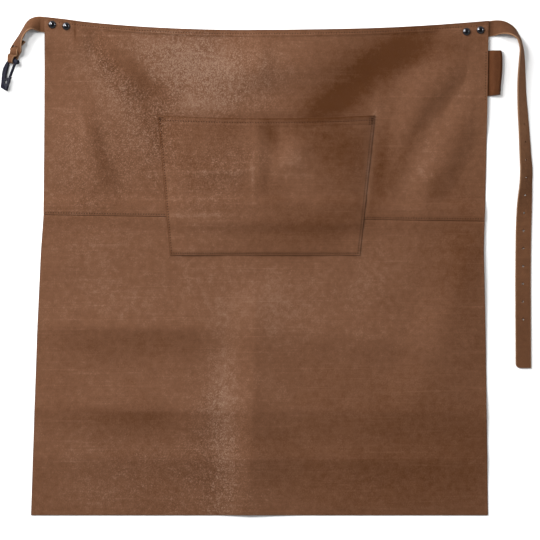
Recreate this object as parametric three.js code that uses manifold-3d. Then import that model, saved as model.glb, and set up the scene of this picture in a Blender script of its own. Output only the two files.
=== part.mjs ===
// A leather waist apron lying flat with its front up: two panels joined by a lapped seam,
// a patch pocket, a towel loop, two riveted straps and a small hook with a sprung gate.
// Millimetres. X runs across the wearer's front, Y up towards the waist, Z out of the front.
// While the pieces are drawn, the centre line is x = 0, the waist's lowest point y = 0, the table z = 0.
import * as THREE from "three";
import { mergeVertices } from "three/addons/utils/BufferGeometryUtils.js";
import Module from "manifold-3d";

const wasm = await Module();
wasm.setup();

// Leather, and the clearance that sewn and riveted pieces keep
const PANEL_LEATHER = 1.6;
const STRAP_LEATHER = 2.4;
const GAP = 0.3;

// The apron's body
const WAIST_RISE_LEFT = 19.5;
const WAIST_RISE_RIGHT = 12;
const WAIST_CURVE = 2.2;
const WAIST_HEM = 7;
const WAIST_HEM_STEP = 3;
const SEAM_DROP = 244.5;
const SEAM_SLANT = 2.5;
const SEAM_LAP = 12;
const LAP_RAMP = 17;
const HEM_DROP = 637;
const BODY_HALF = 300;
const WAIST_WIDTH = 583;

// Side edges of the body from the waist down
const SIDES = [
  { y: 17, left: -282, right: 301 },
  { y: -110, left: -282.5, right: 299 },
  { y: -243, left: -283.5, right: 296 },
  { y: -290, left: -287, right: 294.5 },
  { y: -400, left: -292, right: 297 },
  { y: -637, left: -300, right: 300 },
];

// Soft folds in the lying body: crest from start to end, height, reach to the left and right of the
// crest as seen walking along it, and how round the crest is
const FOLDS = [
  { from: [3, 5], to: [-1, -100], height: 3, left: 30, right: 60, round: 1.3 },
  { from: [112, 7], to: [-19, -92], height: 9, left: 90, right: 90, round: 2 },
  { from: [-4, -325], to: [-14, -637], height: 6.5, left: 75, right: 46, round: 1.3 },
  { from: [268, -32], to: [160, -140], height: 7, left: 36, right: 42, round: 2 },
  { from: [290, -75], to: [217, -217], height: 6, left: 32, right: 32, round: 2 },
  { from: [-203, -13], to: [-140, -100], height: 5.5, left: 30, right: 36, round: 1.7 },
  { from: [-236, -118], to: [-203, -210], height: 5, left: 26, right: 36, round: 2 },
  { from: [-282, -390], to: [-45, -393], height: 4.5, left: 60, right: 50, round: 1.2 },
  { from: [40, -394], to: [211, -414], height: 3, left: 45, right: 40, round: 1.5 },
  { from: [-294, -498], to: [-12, -500], height: 6, left: 80, right: 85, round: 1.2 },
  { from: [3, -500], to: [299, -503], height: 4.5, left: 70, right: 85, round: 1.2 },
  { from: [-296, -562], to: [299, -565], height: 3, left: 30, right: 40, round: 1.4 },
  { from: [283, -276], to: [208, -479], height: 6, left: 85, right: 50, round: 1.6 },
];
const FOLD_TAPER = 0.3;

// The patch pocket: the top edge dips, the sides draw in, the mouth gapes
const POCKET_LEFT = { top: -133.7, bottom: -117.6 };
const POCKET_RIGHT = { top: 151.6, bottom: 131.6 };
const POCKET_TOP = -112;
const POCKET_BOTTOM = -296;
const POCKET_DIP = 4.5;
const POCKET_HEM = 12;
const POCKET_HEM_STEP = 0.6;
const POCKET_CORNER = 1.6;
const POCKET_BULGE = 9.6;
const POCKET_SQUARENESS = 4;
const POCKET_FLAT_MARGIN = 18;
const POCKET_FADE = 30;
const SEAM_CLEAR = 5;
const POCKET_FOLDS = [
  { from: [-2, -112], to: [-1, -204], height: 2.5, left: 18, right: 26, round: 2 },
  { from: [43, -185], to: [52, -145], height: 3, left: 30, right: 26, round: 2 },
  { from: [-91, -185], to: [-10, -186], height: 1.6, left: 16, right: 14, round: 2 },
];

// Straps: where each rests hidden under the panel, it stands on the rivets' back discs
const STRAP_WIDTH = 20.5;
const RIVET_BACK = 1.0;
const STRAP_SEAT = RIVET_BACK + GAP;
const PANEL_SEAT = STRAP_SEAT + STRAP_LEATHER + GAP;
const CORNER_REACH = 46;
const CORNER_DROP = 30;
const LIFT_FADE = 16;

// The right strap's way, with its roll in degrees: the edge nearer the apron rises
const RIGHT_STRAP = [
  { x: 258, y: -4.4, roll: 0 },
  { x: 280, y: -2.2, roll: 0 },
  { x: 301.3, y: 1.4, roll: 0 },
  { x: 315.8, y: 3.2, roll: 24 },
  { x: 324.9, y: 1.4, roll: 42 },
  { x: 331.5, y: -2, roll: 57 },
  { x: 336.8, y: -7.2, roll: 72 },
  { x: 340.7, y: -13.1, roll: 80 },
  { x: 344, y: -25, roll: 81 },
  { x: 344.6, y: -39.4, roll: 74 },
  { x: 344.2, y: -65.6, roll: 65 },
  { x: 344.6, y: -88, roll: 61 },
  { x: 346, y: -111.6, roll: 53 },
  { x: 347.7, y: -137.9, roll: 50 },
  { x: 349, y: -164, roll: 43 },
  { x: 350, y: -184, roll: 38 },
  { x: 349.2, y: -203.5, roll: 34 },
  { x: 348, y: -223, roll: 20 },
  { x: 347.2, y: -243, roll: 6 },
  { x: 346.5, y: -269, roll: 0 },
  { x: 346, y: -315, roll: 0 },
  { x: 346, y: -360, roll: 0 },
  { x: 346.4, y: -443.8, roll: 0 },
];
const STRAP_END_RADIUS = 6;
const STRAP_HOLE_RADIUS = 1.3;
const STRAP_HOLE_PITCH = 23.3;
const STRAP_HOLE_LAST = 64;
const STRAP_HOLES = 12;

// The left strap's way to its loop
const LEFT_STRAP = [
  { x: -241.6, y: 2.2, roll: 0 },
  { x: -262, y: 4.8, roll: 0 },
  { x: -282.3, y: 7, roll: 0 },
  { x: -290.8, y: 8, roll: 18 },
  { x: -298.7, y: 7.2, roll: 43 },
  { x: -305, y: 2.4, roll: 64 },
  { x: -310.2, y: -4.6, roll: 72 },
  { x: -314.4, y: -12.4, roll: 70 },
  { x: -317.6, y: -20.2, roll: 60 },
  { x: -319.6, y: -27, roll: 46 },
];

// The loop round the hook's bow, in the hook's own frame: along the hook, out of its plane, width
const STRAP_LOOP = [
  { along: -4.5, out: -2.6, width: 10.5 },
  { along: -1, out: -3.6, width: 7.6 },
  { along: 2.2, out: -3.9, width: 6.6 },
  { along: 5.5, out: -3.2, width: 6.6 },
  { along: 6.7, out: 0, width: 6.6 },
  { along: 5.5, out: 3.2, width: 6.6 },
  { along: 2.2, out: 3.9, width: 6.6 },
  { along: -2, out: 4, width: 7.4 },
  { along: -6, out: 4.2, width: 8.2 },
];
const LOOP_SIDE = -0.6;

// The strap's tongue: it leaves the loop, dives through a slot in the strap and ends behind it
const TONGUE = [
  { back: 6.5, over: 6.8, side: 0, width: 8.2 },
  { back: 10.5, over: 5.4, side: 0, width: 8.4 },
  { back: 14, over: 2.6, side: 0, width: 8.6 },
  { back: 17.5, over: -1.2, side: 0, width: 8.6 },
  { back: 21, over: -3.2, side: 2, width: 9 },
  { back: 28, over: -3.4, side: 4.5, width: 9.6 },
];
const SLOT_BACK = 16;
const SLOT_LENGTH = 9.5;
const SLOT_WIDTH = 9.8;
const SLOT_DEPTH = 5;

// Rivets: domed cap on the panel, post, flat disc behind the strap
const RIVET_CAP = 5.1;
const RIVET_DOME = 3;
const RIVET_RIM = 0.5;
const RIVET_POST = 1.5;
const RIVET_DISC = 4.2;
const RIVET_HOLE = 1.9;
const RIVETS = {
  rivet_left_outer: [-271.9, 6.8],
  rivet_left_inner: [-253.5, 4.6],
  rivet_right_inner: [271.7, -2.5],
  rivet_right_outer: [290, -0.4],
};

// The towel loop: a folded strip sewn under the right edge
const LOOP_TOP = -27;
const LOOP_BOTTOM = -88;
const LOOP_FOLD_X = 319;
const LOOP_NECK_X = 301.5;
const LOOP_HIDDEN = 15;
const LOOP_RISE = 5;
const LOOP_LEATHER = 1.5;
const LOOP_GAPE = 5.6;
const LOOP_SLANT = 3;

// The hook: a flat frame with a long window, a small lower window and a hinged gate
const HOOK_PLACE = new THREE.Vector3(-323.3, -36.8, 6.5);
const HOOK_HEADING = new THREE.Vector3(-0.264, -0.965, 0).normalize();
const HOOK_TILT = 30;
const HOOK_THICK = 4;
const HOOK_BEVEL = 0.5;
const HOOK_SPINE = [
  { along: 1.2, side: -4.4 },
  { along: 9.5, side: -8 },
  { along: 17.6, side: -9.8 },
  { along: 26, side: -8.9 },
  { along: 34.4, side: -6.8 },
  { along: 41.8, side: -5.8 },
];
const HOOK_EDGE = [
  { along: 44.2, side: 4.6 },
  { along: 26, side: 5.4 },
  { along: 8.5, side: 6.6 },
  { along: 4.5, side: 8.4 },
  { along: 0, side: 4.6 },
  { along: -0.6, side: 0 },
];
const GATE_PIVOT = new THREE.Vector2(4, 7);
const GATE_EYE = 2.3;
const GATE_THICK = 3;
const GATE_TONGUE = 1.5;
const GATE_REACH = 26;
const BOSS_RADIUS = 3;
const BOSS_LENGTH = 6;
const PIN_RADIUS = 0.9;

// Finishes
const FINISH = {
  body: { color: 0x78563f, roughness: 0.62, metalness: 0 },
  strap: { color: 0x66442f, roughness: 0.55, metalness: 0 },
  rivet: { color: 0x24221f, roughness: 0.25, metalness: 1 },
  hook: { color: 0x17171b, roughness: 0.4, metalness: 0.8 },
};

const UP = new THREE.Vector3(0, 0, 1);
const radians = THREE.MathUtils.degToRad;
const blend = THREE.MathUtils.lerp;
const smooth = THREE.MathUtils.smoothstep;

// A closed mesh and a solid for cutting and joining are turned into each other
function toSolid(geometry) {
  const bare = geometry.clone();
  bare.deleteAttribute("normal");
  bare.deleteAttribute("uv");
  const merged = mergeVertices(bare, 1e-4);
  const vertProperties = new Float32Array(merged.attributes.position.array);
  const triVerts = new Uint32Array(merged.index.array);
  return new wasm.Manifold(new wasm.Mesh({ numProp: 3, vertProperties, triVerts }));
}

function toGeometry(solid) {
  const mesh = solid.getMesh();
  const geometry = new THREE.BufferGeometry();
  geometry.setAttribute("position", new THREE.BufferAttribute(mesh.vertProperties, 3));
  geometry.setIndex(new THREE.BufferAttribute(mesh.triVerts, 1));
  geometry.computeVertexNormals();
  return geometry;
}

function cut(geometry, cutters) {
  let solid = toSolid(geometry);
  for (const cutter of cutters) {
    solid = solid.subtract(toSolid(cutter));
  }
  return toGeometry(solid);
}

function join(geometries) {
  return toGeometry(geometries.map(toSolid).reduce((all, next) => all.add(next)));
}

// Straight-line reading of a table: the value of one column where another passes a given place
function readTable(table, key, at, column) {
  const falling = table[0][key] > table[table.length - 1][key];
  const rows = falling ? [...table].reverse() : table;
  let i = 1;
  while (i < rows.length - 1 && rows[i][key] < at) i += 1;
  const t = THREE.MathUtils.clamp((at - rows[i - 1][key]) / (rows[i][key] - rows[i - 1][key]), 0, 1);
  return blend(rows[i - 1][column], rows[i][column], t);
}

// Edges of the body
function waistY(x) {
  const rise = x < 0 ? WAIST_RISE_LEFT : WAIST_RISE_RIGHT;
  return rise * Math.pow(Math.abs(x) / BODY_HALF, WAIST_CURVE);
}

const seamY = (x) => -SEAM_DROP - (SEAM_SLANT * x) / BODY_HALF;

function sideways(y, across) {
  return blend(readTable(SIDES, "y", y, "left"), readTable(SIDES, "y", y, "right"), across);
}

// A fold's cross-section is a bell that fades out at both ends of the crest
function foldHeight(fold, x, y) {
  const start = new THREE.Vector2(...fold.from);
  const run = new THREE.Vector2(...fold.to).sub(start);
  const length = run.length();
  run.divideScalar(length);
  const offset = new THREE.Vector2(x, y).sub(start);
  const along = offset.dot(run) / length;
  const leftward = run.cross(offset);
  const reach = leftward > 0 ? fold.left : fold.right;
  const away = Math.min(Math.abs(leftward) / reach, 1);
  const ends = smooth(along, -FOLD_TAPER, FOLD_TAPER) * smooth(1 - along, -FOLD_TAPER, FOLD_TAPER);
  return fold.height * Math.pow(1 - Math.pow(away, fold.round), 2) * ends;
}

// How far a place lies outside the pocket's outline
function outsidePocket(x, y) {
  const down = THREE.MathUtils.clamp((POCKET_TOP - y) / (POCKET_TOP - POCKET_BOTTOM), 0, 1);
  const left = blend(POCKET_LEFT.top, POCKET_LEFT.bottom, down);
  const right = blend(POCKET_RIGHT.top, POCKET_RIGHT.bottom, down);
  const beside = Math.max(left - x, x - right, 0);
  const beyond = Math.max(y - POCKET_TOP, POCKET_BOTTOM - y, 0);
  return Math.hypot(beside, beyond);
}

// Underside of the body's leather: folds, flat under the pocket
function bodyUnder(x, y) {
  const folds = FOLDS.reduce((sum, fold) => sum + foldHeight(fold, x, y), 0);
  return folds * smooth(outsidePocket(x, y), POCKET_FLAT_MARGIN, POCKET_FLAT_MARGIN + POCKET_FADE);
}

// A wall of leather: a box with a grid of faces whose points are set by a function
function wall(columns, rows, surface) {
  const geometry = new THREE.BoxGeometry(1, 1, 1, columns.length - 1, rows.length - 1, 1);
  const points = geometry.attributes.position;
  for (let i = 0; i < points.count; i += 1) {
    const column = columns[Math.round((points.getX(i) + 0.5) * (columns.length - 1))];
    const row = rows[Math.round((0.5 - points.getY(i)) * (rows.length - 1))];
    const place = surface(column, row);
    points.setXYZ(i, place.x, place.y, points.getZ(i) < 0 ? place.under : place.over);
  }
  return geometry;
}

function spaced(from, to, steps) {
  return Array.from({ length: steps + 1 }, (_, i) => blend(from, to, i / steps));
}

// Columns across the body as shares of its width, closer together over the strap ends
const END_REACHES = [...spaced(0, CORNER_REACH, 3), CORNER_REACH + LIFT_FADE];
const END_COLUMNS = END_REACHES.map((reach) => reach / WAIST_WIDTH);
const MIDDLE_COLUMNS = spaced(END_COLUMNS.at(-1), 1 - END_COLUMNS.at(-1), 26).slice(1, -1);
const BODY_COLUMNS = [...END_COLUMNS, ...MIDDLE_COLUMNS, ...END_COLUMNS.map((share) => 1 - share).reverse()];

// The upper panel is lifted where the strap ends and the towel loop lie under it
const LIFTS = [
  { from: 0, to: CORNER_REACH, top: 0, bottom: CORNER_DROP, height: PANEL_SEAT },
  { from: WAIST_WIDTH - CORNER_REACH, to: WAIST_WIDTH, top: 0, bottom: CORNER_DROP, height: PANEL_SEAT },
  {
    from: WAIST_WIDTH - LOOP_HIDDEN,
    to: WAIST_WIDTH,
    top: CORNER_DROP,
    bottom: WAIST_RISE_RIGHT - LOOP_BOTTOM + LOOP_HIDDEN,
    height: 2 * LOOP_LEATHER + 2 * GAP,
  },
];

function liftAt(distance, drop) {
  const heights = LIFTS.map((lift) => {
    const beside = Math.max(lift.from - distance, distance - lift.to, 0);
    const beyond = Math.max(lift.top - drop, drop - lift.bottom, 0);
    return lift.height * (1 - smooth(Math.max(beside, beyond), 0, LIFT_FADE));
  });
  return Math.max(...heights);
}

// Upper panel, from the waist down to the seam edge that laps over the lower panel
const LAP_START = SEAM_DROP - SEAM_LAP - LAP_RAMP;
const UPPER_ROWS = [
  0, WAIST_HEM, WAIST_HEM + WAIST_HEM_STEP, CORNER_DROP,
  ...spaced(CORNER_DROP + LIFT_FADE, LAP_START, 11), SEAM_DROP - SEAM_LAP, SEAM_DROP,
];

function upperPlace(across, drop) {
  const level = sideways(-drop, across);
  const y = blend(waistY(level), seamY(level), drop / SEAM_DROP);
  return { x: sideways(y, across), y };
}

function upperSurface(across, drop) {
  const { x, y } = upperPlace(across, drop);
  const lift = liftAt(across * WAIST_WIDTH, drop);
  const lap = smooth(drop, LAP_START, SEAM_DROP - SEAM_LAP) * (PANEL_LEATHER + 2 * GAP);
  const under = Math.max(bodyUnder(x, y), lift) + lap;
  const hem = drop <= WAIST_HEM && lift === 0 ? PANEL_LEATHER - GAP : 0;
  return { x, y, under, over: under + PANEL_LEATHER + hem };
}

// Lower panel, from under the lap to the raw bottom edge
const LOWER_ROWS = [0, ...spaced(SEAM_LAP, HEM_DROP - SEAM_DROP + SEAM_LAP, 23)];

function lowerSurface(across, down) {
  const head = upperPlace(across, SEAM_DROP - SEAM_LAP);
  const seam = upperPlace(across, SEAM_DROP);
  const below = (down - SEAM_LAP) / (HEM_DROP - SEAM_DROP);
  const y = down < SEAM_LAP ? head.y : blend(seam.y, -HEM_DROP, below);
  const x = sideways(y, across);
  const under = bodyUnder(x, y);
  return { x, y, under, over: under + PANEL_LEATHER };
}

// Pocket: its edge sits on the panels and steps over the seam, its face bulges
const POCKET_COLUMNS = [0, 0.03, ...spaced(0.08, 0.92, 14), 0.97, 1];
const POCKET_SEAT = [
  { y: POCKET_TOP, lift: 0 },
  { y: seamY(0) + SEAM_LAP + LAP_RAMP + SEAM_CLEAR, lift: 0 },
  { y: seamY(0) + SEAM_LAP + SEAM_CLEAR, lift: PANEL_LEATHER + 2 * GAP },
  { y: seamY(0) - SEAM_CLEAR, lift: PANEL_LEATHER + 2 * GAP },
  { y: seamY(0) - SEAM_CLEAR - LAP_RAMP, lift: 0 },
  { y: POCKET_BOTTOM, lift: 0 },
];
const POCKET_ROWS = [
  POCKET_TOP, POCKET_TOP - POCKET_HEM, POCKET_TOP - POCKET_HEM - POCKET_HEM_STEP,
  ...spaced(POCKET_TOP - 2 * POCKET_HEM, POCKET_SEAT[1].y, 4),
  POCKET_SEAT[2].y, POCKET_SEAT[3].y, ...spaced(POCKET_SEAT[4].y, POCKET_BOTTOM, 3),
];

function pocketSurface(across, level) {
  const down = (POCKET_TOP - level) / (POCKET_TOP - POCKET_BOTTOM);
  const arch = 1 - Math.pow(2 * across - 1, 2);
  const left = blend(POCKET_LEFT.top, POCKET_LEFT.bottom, down);
  const right = blend(POCKET_RIGHT.top, POCKET_RIGHT.bottom, down);
  const atCorner = level === POCKET_BOTTOM && (across === 0 || across === 1);
  const x = blend(left, right, across) + (atCorner ? POCKET_CORNER * (1 - 2 * across) : 0);
  const y = level - POCKET_DIP * arch * Math.pow(1 - down, 3) + (atCorner ? POCKET_CORNER : 0);
  const swell = 1 - Math.pow(Math.abs(2 * across - 1), POCKET_SQUARENESS);
  const bulge = POCKET_BULGE * swell * (1 - Math.pow(down, 3));
  const folds = POCKET_FOLDS.reduce((sum, fold) => sum + foldHeight(fold, x, y), 0) * arch;
  const seat = PANEL_LEATHER + GAP + readTable(POCKET_SEAT, "y", level, "lift");
  const hem = level >= POCKET_TOP - POCKET_HEM ? PANEL_LEATHER * smooth(arch, 0.1, 0.5) : 0;
  const face = seat + bulge + folds + PANEL_LEATHER;
  return { x, y, under: face - PANEL_LEATHER - hem, over: face };
}

// A strip swept through sections, each with a point, a direction across and a width
function strip(sections, thickness) {
  const geometry = new THREE.BoxGeometry(1, 1, 1, 1, 1, sections.length - 1);
  const points = geometry.attributes.position;
  const path = new THREE.CatmullRomCurve3(sections.map((section) => section.point));
  for (let i = 0; i < points.count; i += 1) {
    const index = Math.round((points.getZ(i) + 0.5) * (sections.length - 1));
    const { point, across, width } = sections[index];
    const normal = path.getTangent(index / (sections.length - 1)).cross(across).normalize();
    const place = point.clone();
    place.addScaledVector(across, points.getX(i) * width);
    place.addScaledVector(normal, points.getY(i) * thickness);
    points.setXYZ(i, place.x, place.y, place.z);
  }
  return geometry;
}

// Sections of a lying strap: it rests on its lower edge, and on the rivets' discs at its hidden end
function lyingSections(table, inward, steps) {
  const sections = [];
  const flat = new THREE.CatmullRomCurve3(table.map((row) => new THREE.Vector3(row.x, row.y, 0)));
  const count = (table.length - 1) * steps;
  for (let i = 0; i <= count; i += 1) {
    const place = (i / count) * (table.length - 1);
    const row = Math.min(Math.floor(place), table.length - 2);
    const roll = radians(blend(table[row].roll, table[row + 1].roll, place - row));
    const seat = STRAP_SEAT * (1 - smooth(place, 2, 4));
    const point = flat.getPoint(i / count);
    const rest = (STRAP_WIDTH * Math.sin(roll) + STRAP_LEATHER * Math.cos(roll)) / 2;
    point.z = Math.max(rest, seat + STRAP_LEATHER / 2);
    const across = flat.getTangent(i / count).cross(UP).multiplyScalar(inward * Math.cos(roll));
    across.addScaledVector(UP, Math.sin(roll));
    sections.push({ point, across, width: STRAP_WIDTH });
  }
  return sections;
}

function rod(radius, length, sides) {
  return new THREE.CylinderGeometry(radius, radius, length, sides);
}

// Holes for the rivets' posts
function rivetHoles() {
  return Object.values(RIVETS).map(([x, y]) => {
    return rod(RIVET_HOLE, 8 * PANEL_SEAT, 10).rotateX(Math.PI / 2).translate(x, y, 0);
  });
}

// Right strap with its row of holes and one rounded corner at the end
function rightStrap() {
  const sections = lyingSections(RIGHT_STRAP, 1, 2);
  const holes = [];
  let distance = 0;
  for (let i = sections.length - 1; i > 0; i -= 1) {
    const { point, across } = sections[i];
    const step = point.distanceTo(sections[i - 1].point);
    const along = sections[i - 1].point.clone().sub(point).normalize();
    for (let n = 0; n < STRAP_HOLES; n += 1) {
      const ahead = STRAP_HOLE_LAST + n * STRAP_HOLE_PITCH - distance;
      if (ahead >= 0 && ahead < step) {
        const middle = across.clone().add(sections[i - 1].across).normalize();
        const hole = rod(STRAP_HOLE_RADIUS, 3 * STRAP_LEATHER, 8);
        const frame = new THREE.Matrix4().makeBasis(middle, along.clone().cross(middle), along);
        const centre = point.clone().addScaledVector(along, ahead);
        holes.push(hole.applyMatrix4(frame.setPosition(centre)));
      }
    }
    distance += step;
  }
  const tip = sections[sections.length - 1].point;
  const corner = new THREE.Shape();
  const outer = -STRAP_WIDTH;
  corner.moveTo(outer, outer);
  corner.lineTo(STRAP_END_RADIUS, outer);
  corner.lineTo(STRAP_END_RADIUS, 0);
  corner.absarc(STRAP_END_RADIUS, STRAP_END_RADIUS, STRAP_END_RADIUS, -Math.PI / 2, -Math.PI, true);
  corner.lineTo(outer, STRAP_END_RADIUS);
  const nip = plate(corner, 4 * STRAP_LEATHER, 0).translate(tip.x - STRAP_WIDTH / 2, tip.y, 0);
  return cut(strip(sections, STRAP_LEATHER), [...rivetHoles().slice(2), ...holes, nip]);
}

// The hook's frame: along it, across it towards the gate, out of its plane
const hookSide = HOOK_HEADING.clone().cross(UP).multiplyScalar(-Math.cos(radians(HOOK_TILT)));
hookSide.addScaledVector(UP, Math.sin(radians(HOOK_TILT)));
const hookOut = HOOK_HEADING.clone().cross(hookSide);

function hookPoint(along, side, out) {
  const place = HOOK_PLACE.clone().addScaledVector(HOOK_HEADING, along);
  return place.addScaledVector(hookSide, side).addScaledVector(hookOut, out);
}

// Left strap: down from the panel, round the hook's bow, back and through its own slot
function leftStrap() {
  const run = lyingSections(LEFT_STRAP, -1, 2);
  const loop = STRAP_LOOP.map(({ along, out, width }) => {
    return { point: hookPoint(along, LOOP_SIDE, out), across: hookSide, width };
  });
  const lead = run[run.length - 1];
  const bridge = spaced(0, 1, 3).slice(1, -1).map((share) => ({
    point: lead.point.clone().lerp(loop[0].point, share),
    across: lead.across.clone().lerp(loop[0].across, share).normalize(),
    width: blend(lead.width, loop[0].width, share),
  }));
  const main = [...run, ...bridge, ...loop];
  const body = strip(main, STRAP_LEATHER);

  // Places along the strap, measured back from the hook's bow
  const trail = [...run, ...bridge, ...loop.slice(0, 3)].reverse();
  function trailAt(back) {
    let left = back;
    let i = 0;
    while (i < trail.length - 2 && left > trail[i].point.distanceTo(trail[i + 1].point)) {
      left -= trail[i].point.distanceTo(trail[i + 1].point);
      i += 1;
    }
    const share = left / trail[i].point.distanceTo(trail[i + 1].point);
    const point = trail[i].point.clone().lerp(trail[i + 1].point, share);
    const across = trail[i].across.clone().lerp(trail[i + 1].across, share).normalize();
    const towards = trail[i + 1].point.clone().sub(trail[i].point).normalize();
    return { point, across, out: across.clone().cross(towards).normalize() };
  }

  const tongue = TONGUE.map(({ back, over, side, width }) => {
    const { point, across, out } = trailAt(back);
    return { point: point.clone().addScaledVector(out, over).addScaledVector(across, side), across, width };
  });
  const { point, across, out } = trailAt(SLOT_BACK);
  const slot = new THREE.BoxGeometry(SLOT_WIDTH, SLOT_DEPTH, SLOT_LENGTH);
  slot.applyMatrix4(new THREE.Matrix4().makeBasis(across, out, across.clone().cross(out)).setPosition(point));
  const opened = cut(body, [...rivetHoles().slice(0, 2), slot]);
  return join([opened, strip(tongue, STRAP_LEATHER)]);
}

// One rivet as a turned solid: dome, post and back disc
function rivet() {
  const capFoot = PANEL_SEAT + PANEL_LEATHER + GAP;
  const profile = [
    new THREE.Vector2(0, 0),
    new THREE.Vector2(RIVET_DISC, 0),
    new THREE.Vector2(RIVET_DISC, RIVET_BACK),
    new THREE.Vector2(RIVET_POST, RIVET_BACK),
    new THREE.Vector2(RIVET_POST, capFoot),
    new THREE.Vector2(RIVET_CAP, capFoot),
  ];
  for (const angle of spaced(18, 72, 3)) {
    const out = RIVET_CAP * Math.cos(radians(angle));
    const rise = RIVET_RIM + (RIVET_DOME - RIVET_RIM) * Math.sin(radians(angle));
    profile.push(new THREE.Vector2(out, capFoot + rise));
  }
  profile.push(new THREE.Vector2(0, capFoot + RIVET_DOME));
  return new THREE.LatheGeometry(profile, 16).rotateX(Math.PI / 2);
}

// Towel loop: the strip's path from under the panel, out, round the fold and back
function towelLoop() {
  const low = LOOP_LEATHER / 2;
  const high = low + LOOP_LEATHER + GAP;
  const radius = (LOOP_GAPE + LOOP_LEATHER) / 2;
  const foldX = LOOP_FOLD_X - LOOP_LEATHER / 2 - radius;
  const hiddenX = LOOP_NECK_X + GAP - LOOP_HIDDEN;
  const path = [
    { x: hiddenX, z: low },
    { x: LOOP_NECK_X, z: low },
    { x: foldX, z: low },
    ...spaced(-60, 90, 5).map((angle) => ({
      x: foldX + radius * Math.cos(radians(angle)),
      z: low + radius + radius * Math.sin(radians(angle)),
    })),
    { x: LOOP_NECK_X + LOOP_RISE, z: high + LOOP_RISE },
    { x: LOOP_NECK_X, z: high },
    { x: hiddenX, z: high },
  ];
  const width = LOOP_TOP - LOOP_BOTTOM;
  const across = new THREE.Vector3(0, 1, 0);
  const sections = path.map(({ x, z }) => {
    const narrowing = (LOOP_SLANT * (x - hiddenX)) / (LOOP_FOLD_X - hiddenX);
    const middle = (LOOP_TOP + LOOP_BOTTOM + narrowing) / 2;
    return { point: new THREE.Vector3(x, middle, z), across, width: width - narrowing };
  });
  return strip(sections, LOOP_LEATHER);
}

function plate(shape, thickness, bevel) {
  const depth = thickness - 2 * bevel;
  const geometry = new THREE.ExtrudeGeometry(shape, {
    depth, bevelEnabled: bevel > 0, bevelSize: bevel, bevelThickness: bevel, bevelOffset: -bevel,
    bevelSegments: 1, curveSegments: 6,
  });
  return geometry.translate(0, 0, -depth / 2);
}

function outline(corners) {
  return new THREE.Shape(corners.map(([along, side]) => new THREE.Vector2(along, side)));
}

// Hook frame: spine, bow and opener block with two windows, open along the gate
const WINDOW = [[4.2, -4.1], [4.2, 3.2], [26.4, 2.2], [29.6, -2.4], [20, -3.4], [10, -3.9]];
const LOWER_WINDOW = [[29.6, 2.2], [34.8, 2], [34.8, -2.6], [32.6, -3]];
const NOSE = GATE_REACH + 0.4;
const LIP = GATE_REACH - 1.5;
const GATE_WAY = [[4.2, 2.4], [8.4, 12], [LIP, 12], [LIP, 3.9], [NOSE, 3.9], [NOSE, 1.2], [20, 1.2]];

function hookFrame() {
  const spine = new THREE.SplineCurve(HOOK_SPINE.map(({ along, side }) => new THREE.Vector2(along, side)));
  const shape = new THREE.Shape();
  shape.setFromPoints(spine.getPoints(14));
  for (const { along, side } of HOOK_EDGE) {
    shape.lineTo(along, side);
  }
  const flat = plate(shape, HOOK_THICK, HOOK_BEVEL);
  const openings = [WINDOW, LOWER_WINDOW, GATE_WAY].map(outline);
  const windows = openings.map((opening) => plate(opening, 3 * HOOK_THICK, 0));
  const upright = (geometry) => geometry.rotateX(Math.PI / 2).translate(GATE_PIVOT.x, GATE_PIVOT.y, 0);
  const boss = upright(rod(BOSS_RADIUS, BOSS_LENGTH, 18));
  const fork = upright(rod(GATE_EYE + 2, GATE_TONGUE + 2 * GAP, 18));
  const pin = upright(rod(PIN_RADIUS, BOSS_LENGTH - 1, 12));
  const body = join([cut(flat, windows), boss]);
  return join([cut(body, [fork]), pin]);
}

// Gate: a bar that closes the long window under the nose's lip, with a thin eye on the frame's pin
const GATE_OUTLINE = [
  [4.4, 4.8], [9, 3.8], [GATE_REACH - 0.6, 2.1], [GATE_REACH, 2.6], [GATE_REACH, 3.5],
  [LIP - 0.4, 3.5], [LIP - 0.4, 5], [10, 6.4], [6.2, 8],
];

function hookGate() {
  const bar = plate(outline(GATE_OUTLINE), GATE_THICK, HOOK_BEVEL / 2);
  const eye = rod(GATE_EYE, GATE_TONGUE, 16).rotateX(Math.PI / 2).translate(GATE_PIVOT.x, GATE_PIVOT.y, 0);
  const cheeks = [1, -1].map((face) => {
    const cheek = rod(GATE_EYE + 2.2, GATE_THICK, 18).rotateX(Math.PI / 2);
    return cheek.translate(GATE_PIVOT.x, GATE_PIVOT.y, (face * (GATE_TONGUE + GATE_THICK)) / 2);
  });
  const bore = rod(PIN_RADIUS + GAP, 3 * GATE_THICK, 12).rotateX(Math.PI / 2);
  bore.translate(GATE_PIVOT.x, GATE_PIVOT.y, 0);
  return cut(join([cut(bar, cheeks), eye]), [bore]);
}

function piece(name, geometry, finish) {
  const mesh = new THREE.Mesh(geometry, new THREE.MeshStandardMaterial(finish));
  mesh.name = name;
  return mesh;
}

const apron = new THREE.Group();
apron.add(
  piece("upper_panel", cut(wall(BODY_COLUMNS, UPPER_ROWS, upperSurface), rivetHoles()), FINISH.body),
  piece("lower_panel", wall(BODY_COLUMNS, LOWER_ROWS, lowerSurface), FINISH.body),
  piece("pocket", wall(POCKET_COLUMNS, POCKET_ROWS, pocketSurface), FINISH.body),
  piece("towel_loop", towelLoop(), FINISH.strap),
  piece("right_strap", rightStrap(), FINISH.strap),
  piece("left_strap", leftStrap(), FINISH.strap),
);
for (const [name, [x, y]] of Object.entries(RIVETS)) {
  const fastener = piece(name, rivet(), FINISH.rivet);
  fastener.position.set(x, y, 0);
  apron.add(fastener);
}

const hook = new THREE.Group();
hook.position.copy(HOOK_PLACE);
hook.setRotationFromMatrix(new THREE.Matrix4().makeBasis(HOOK_HEADING, hookSide, hookOut));
hook.add(piece("hook_frame", hookFrame(), FINISH.hook), piece("hook_gate", hookGate(), FINISH.hook));
apron.add(hook);

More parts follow.
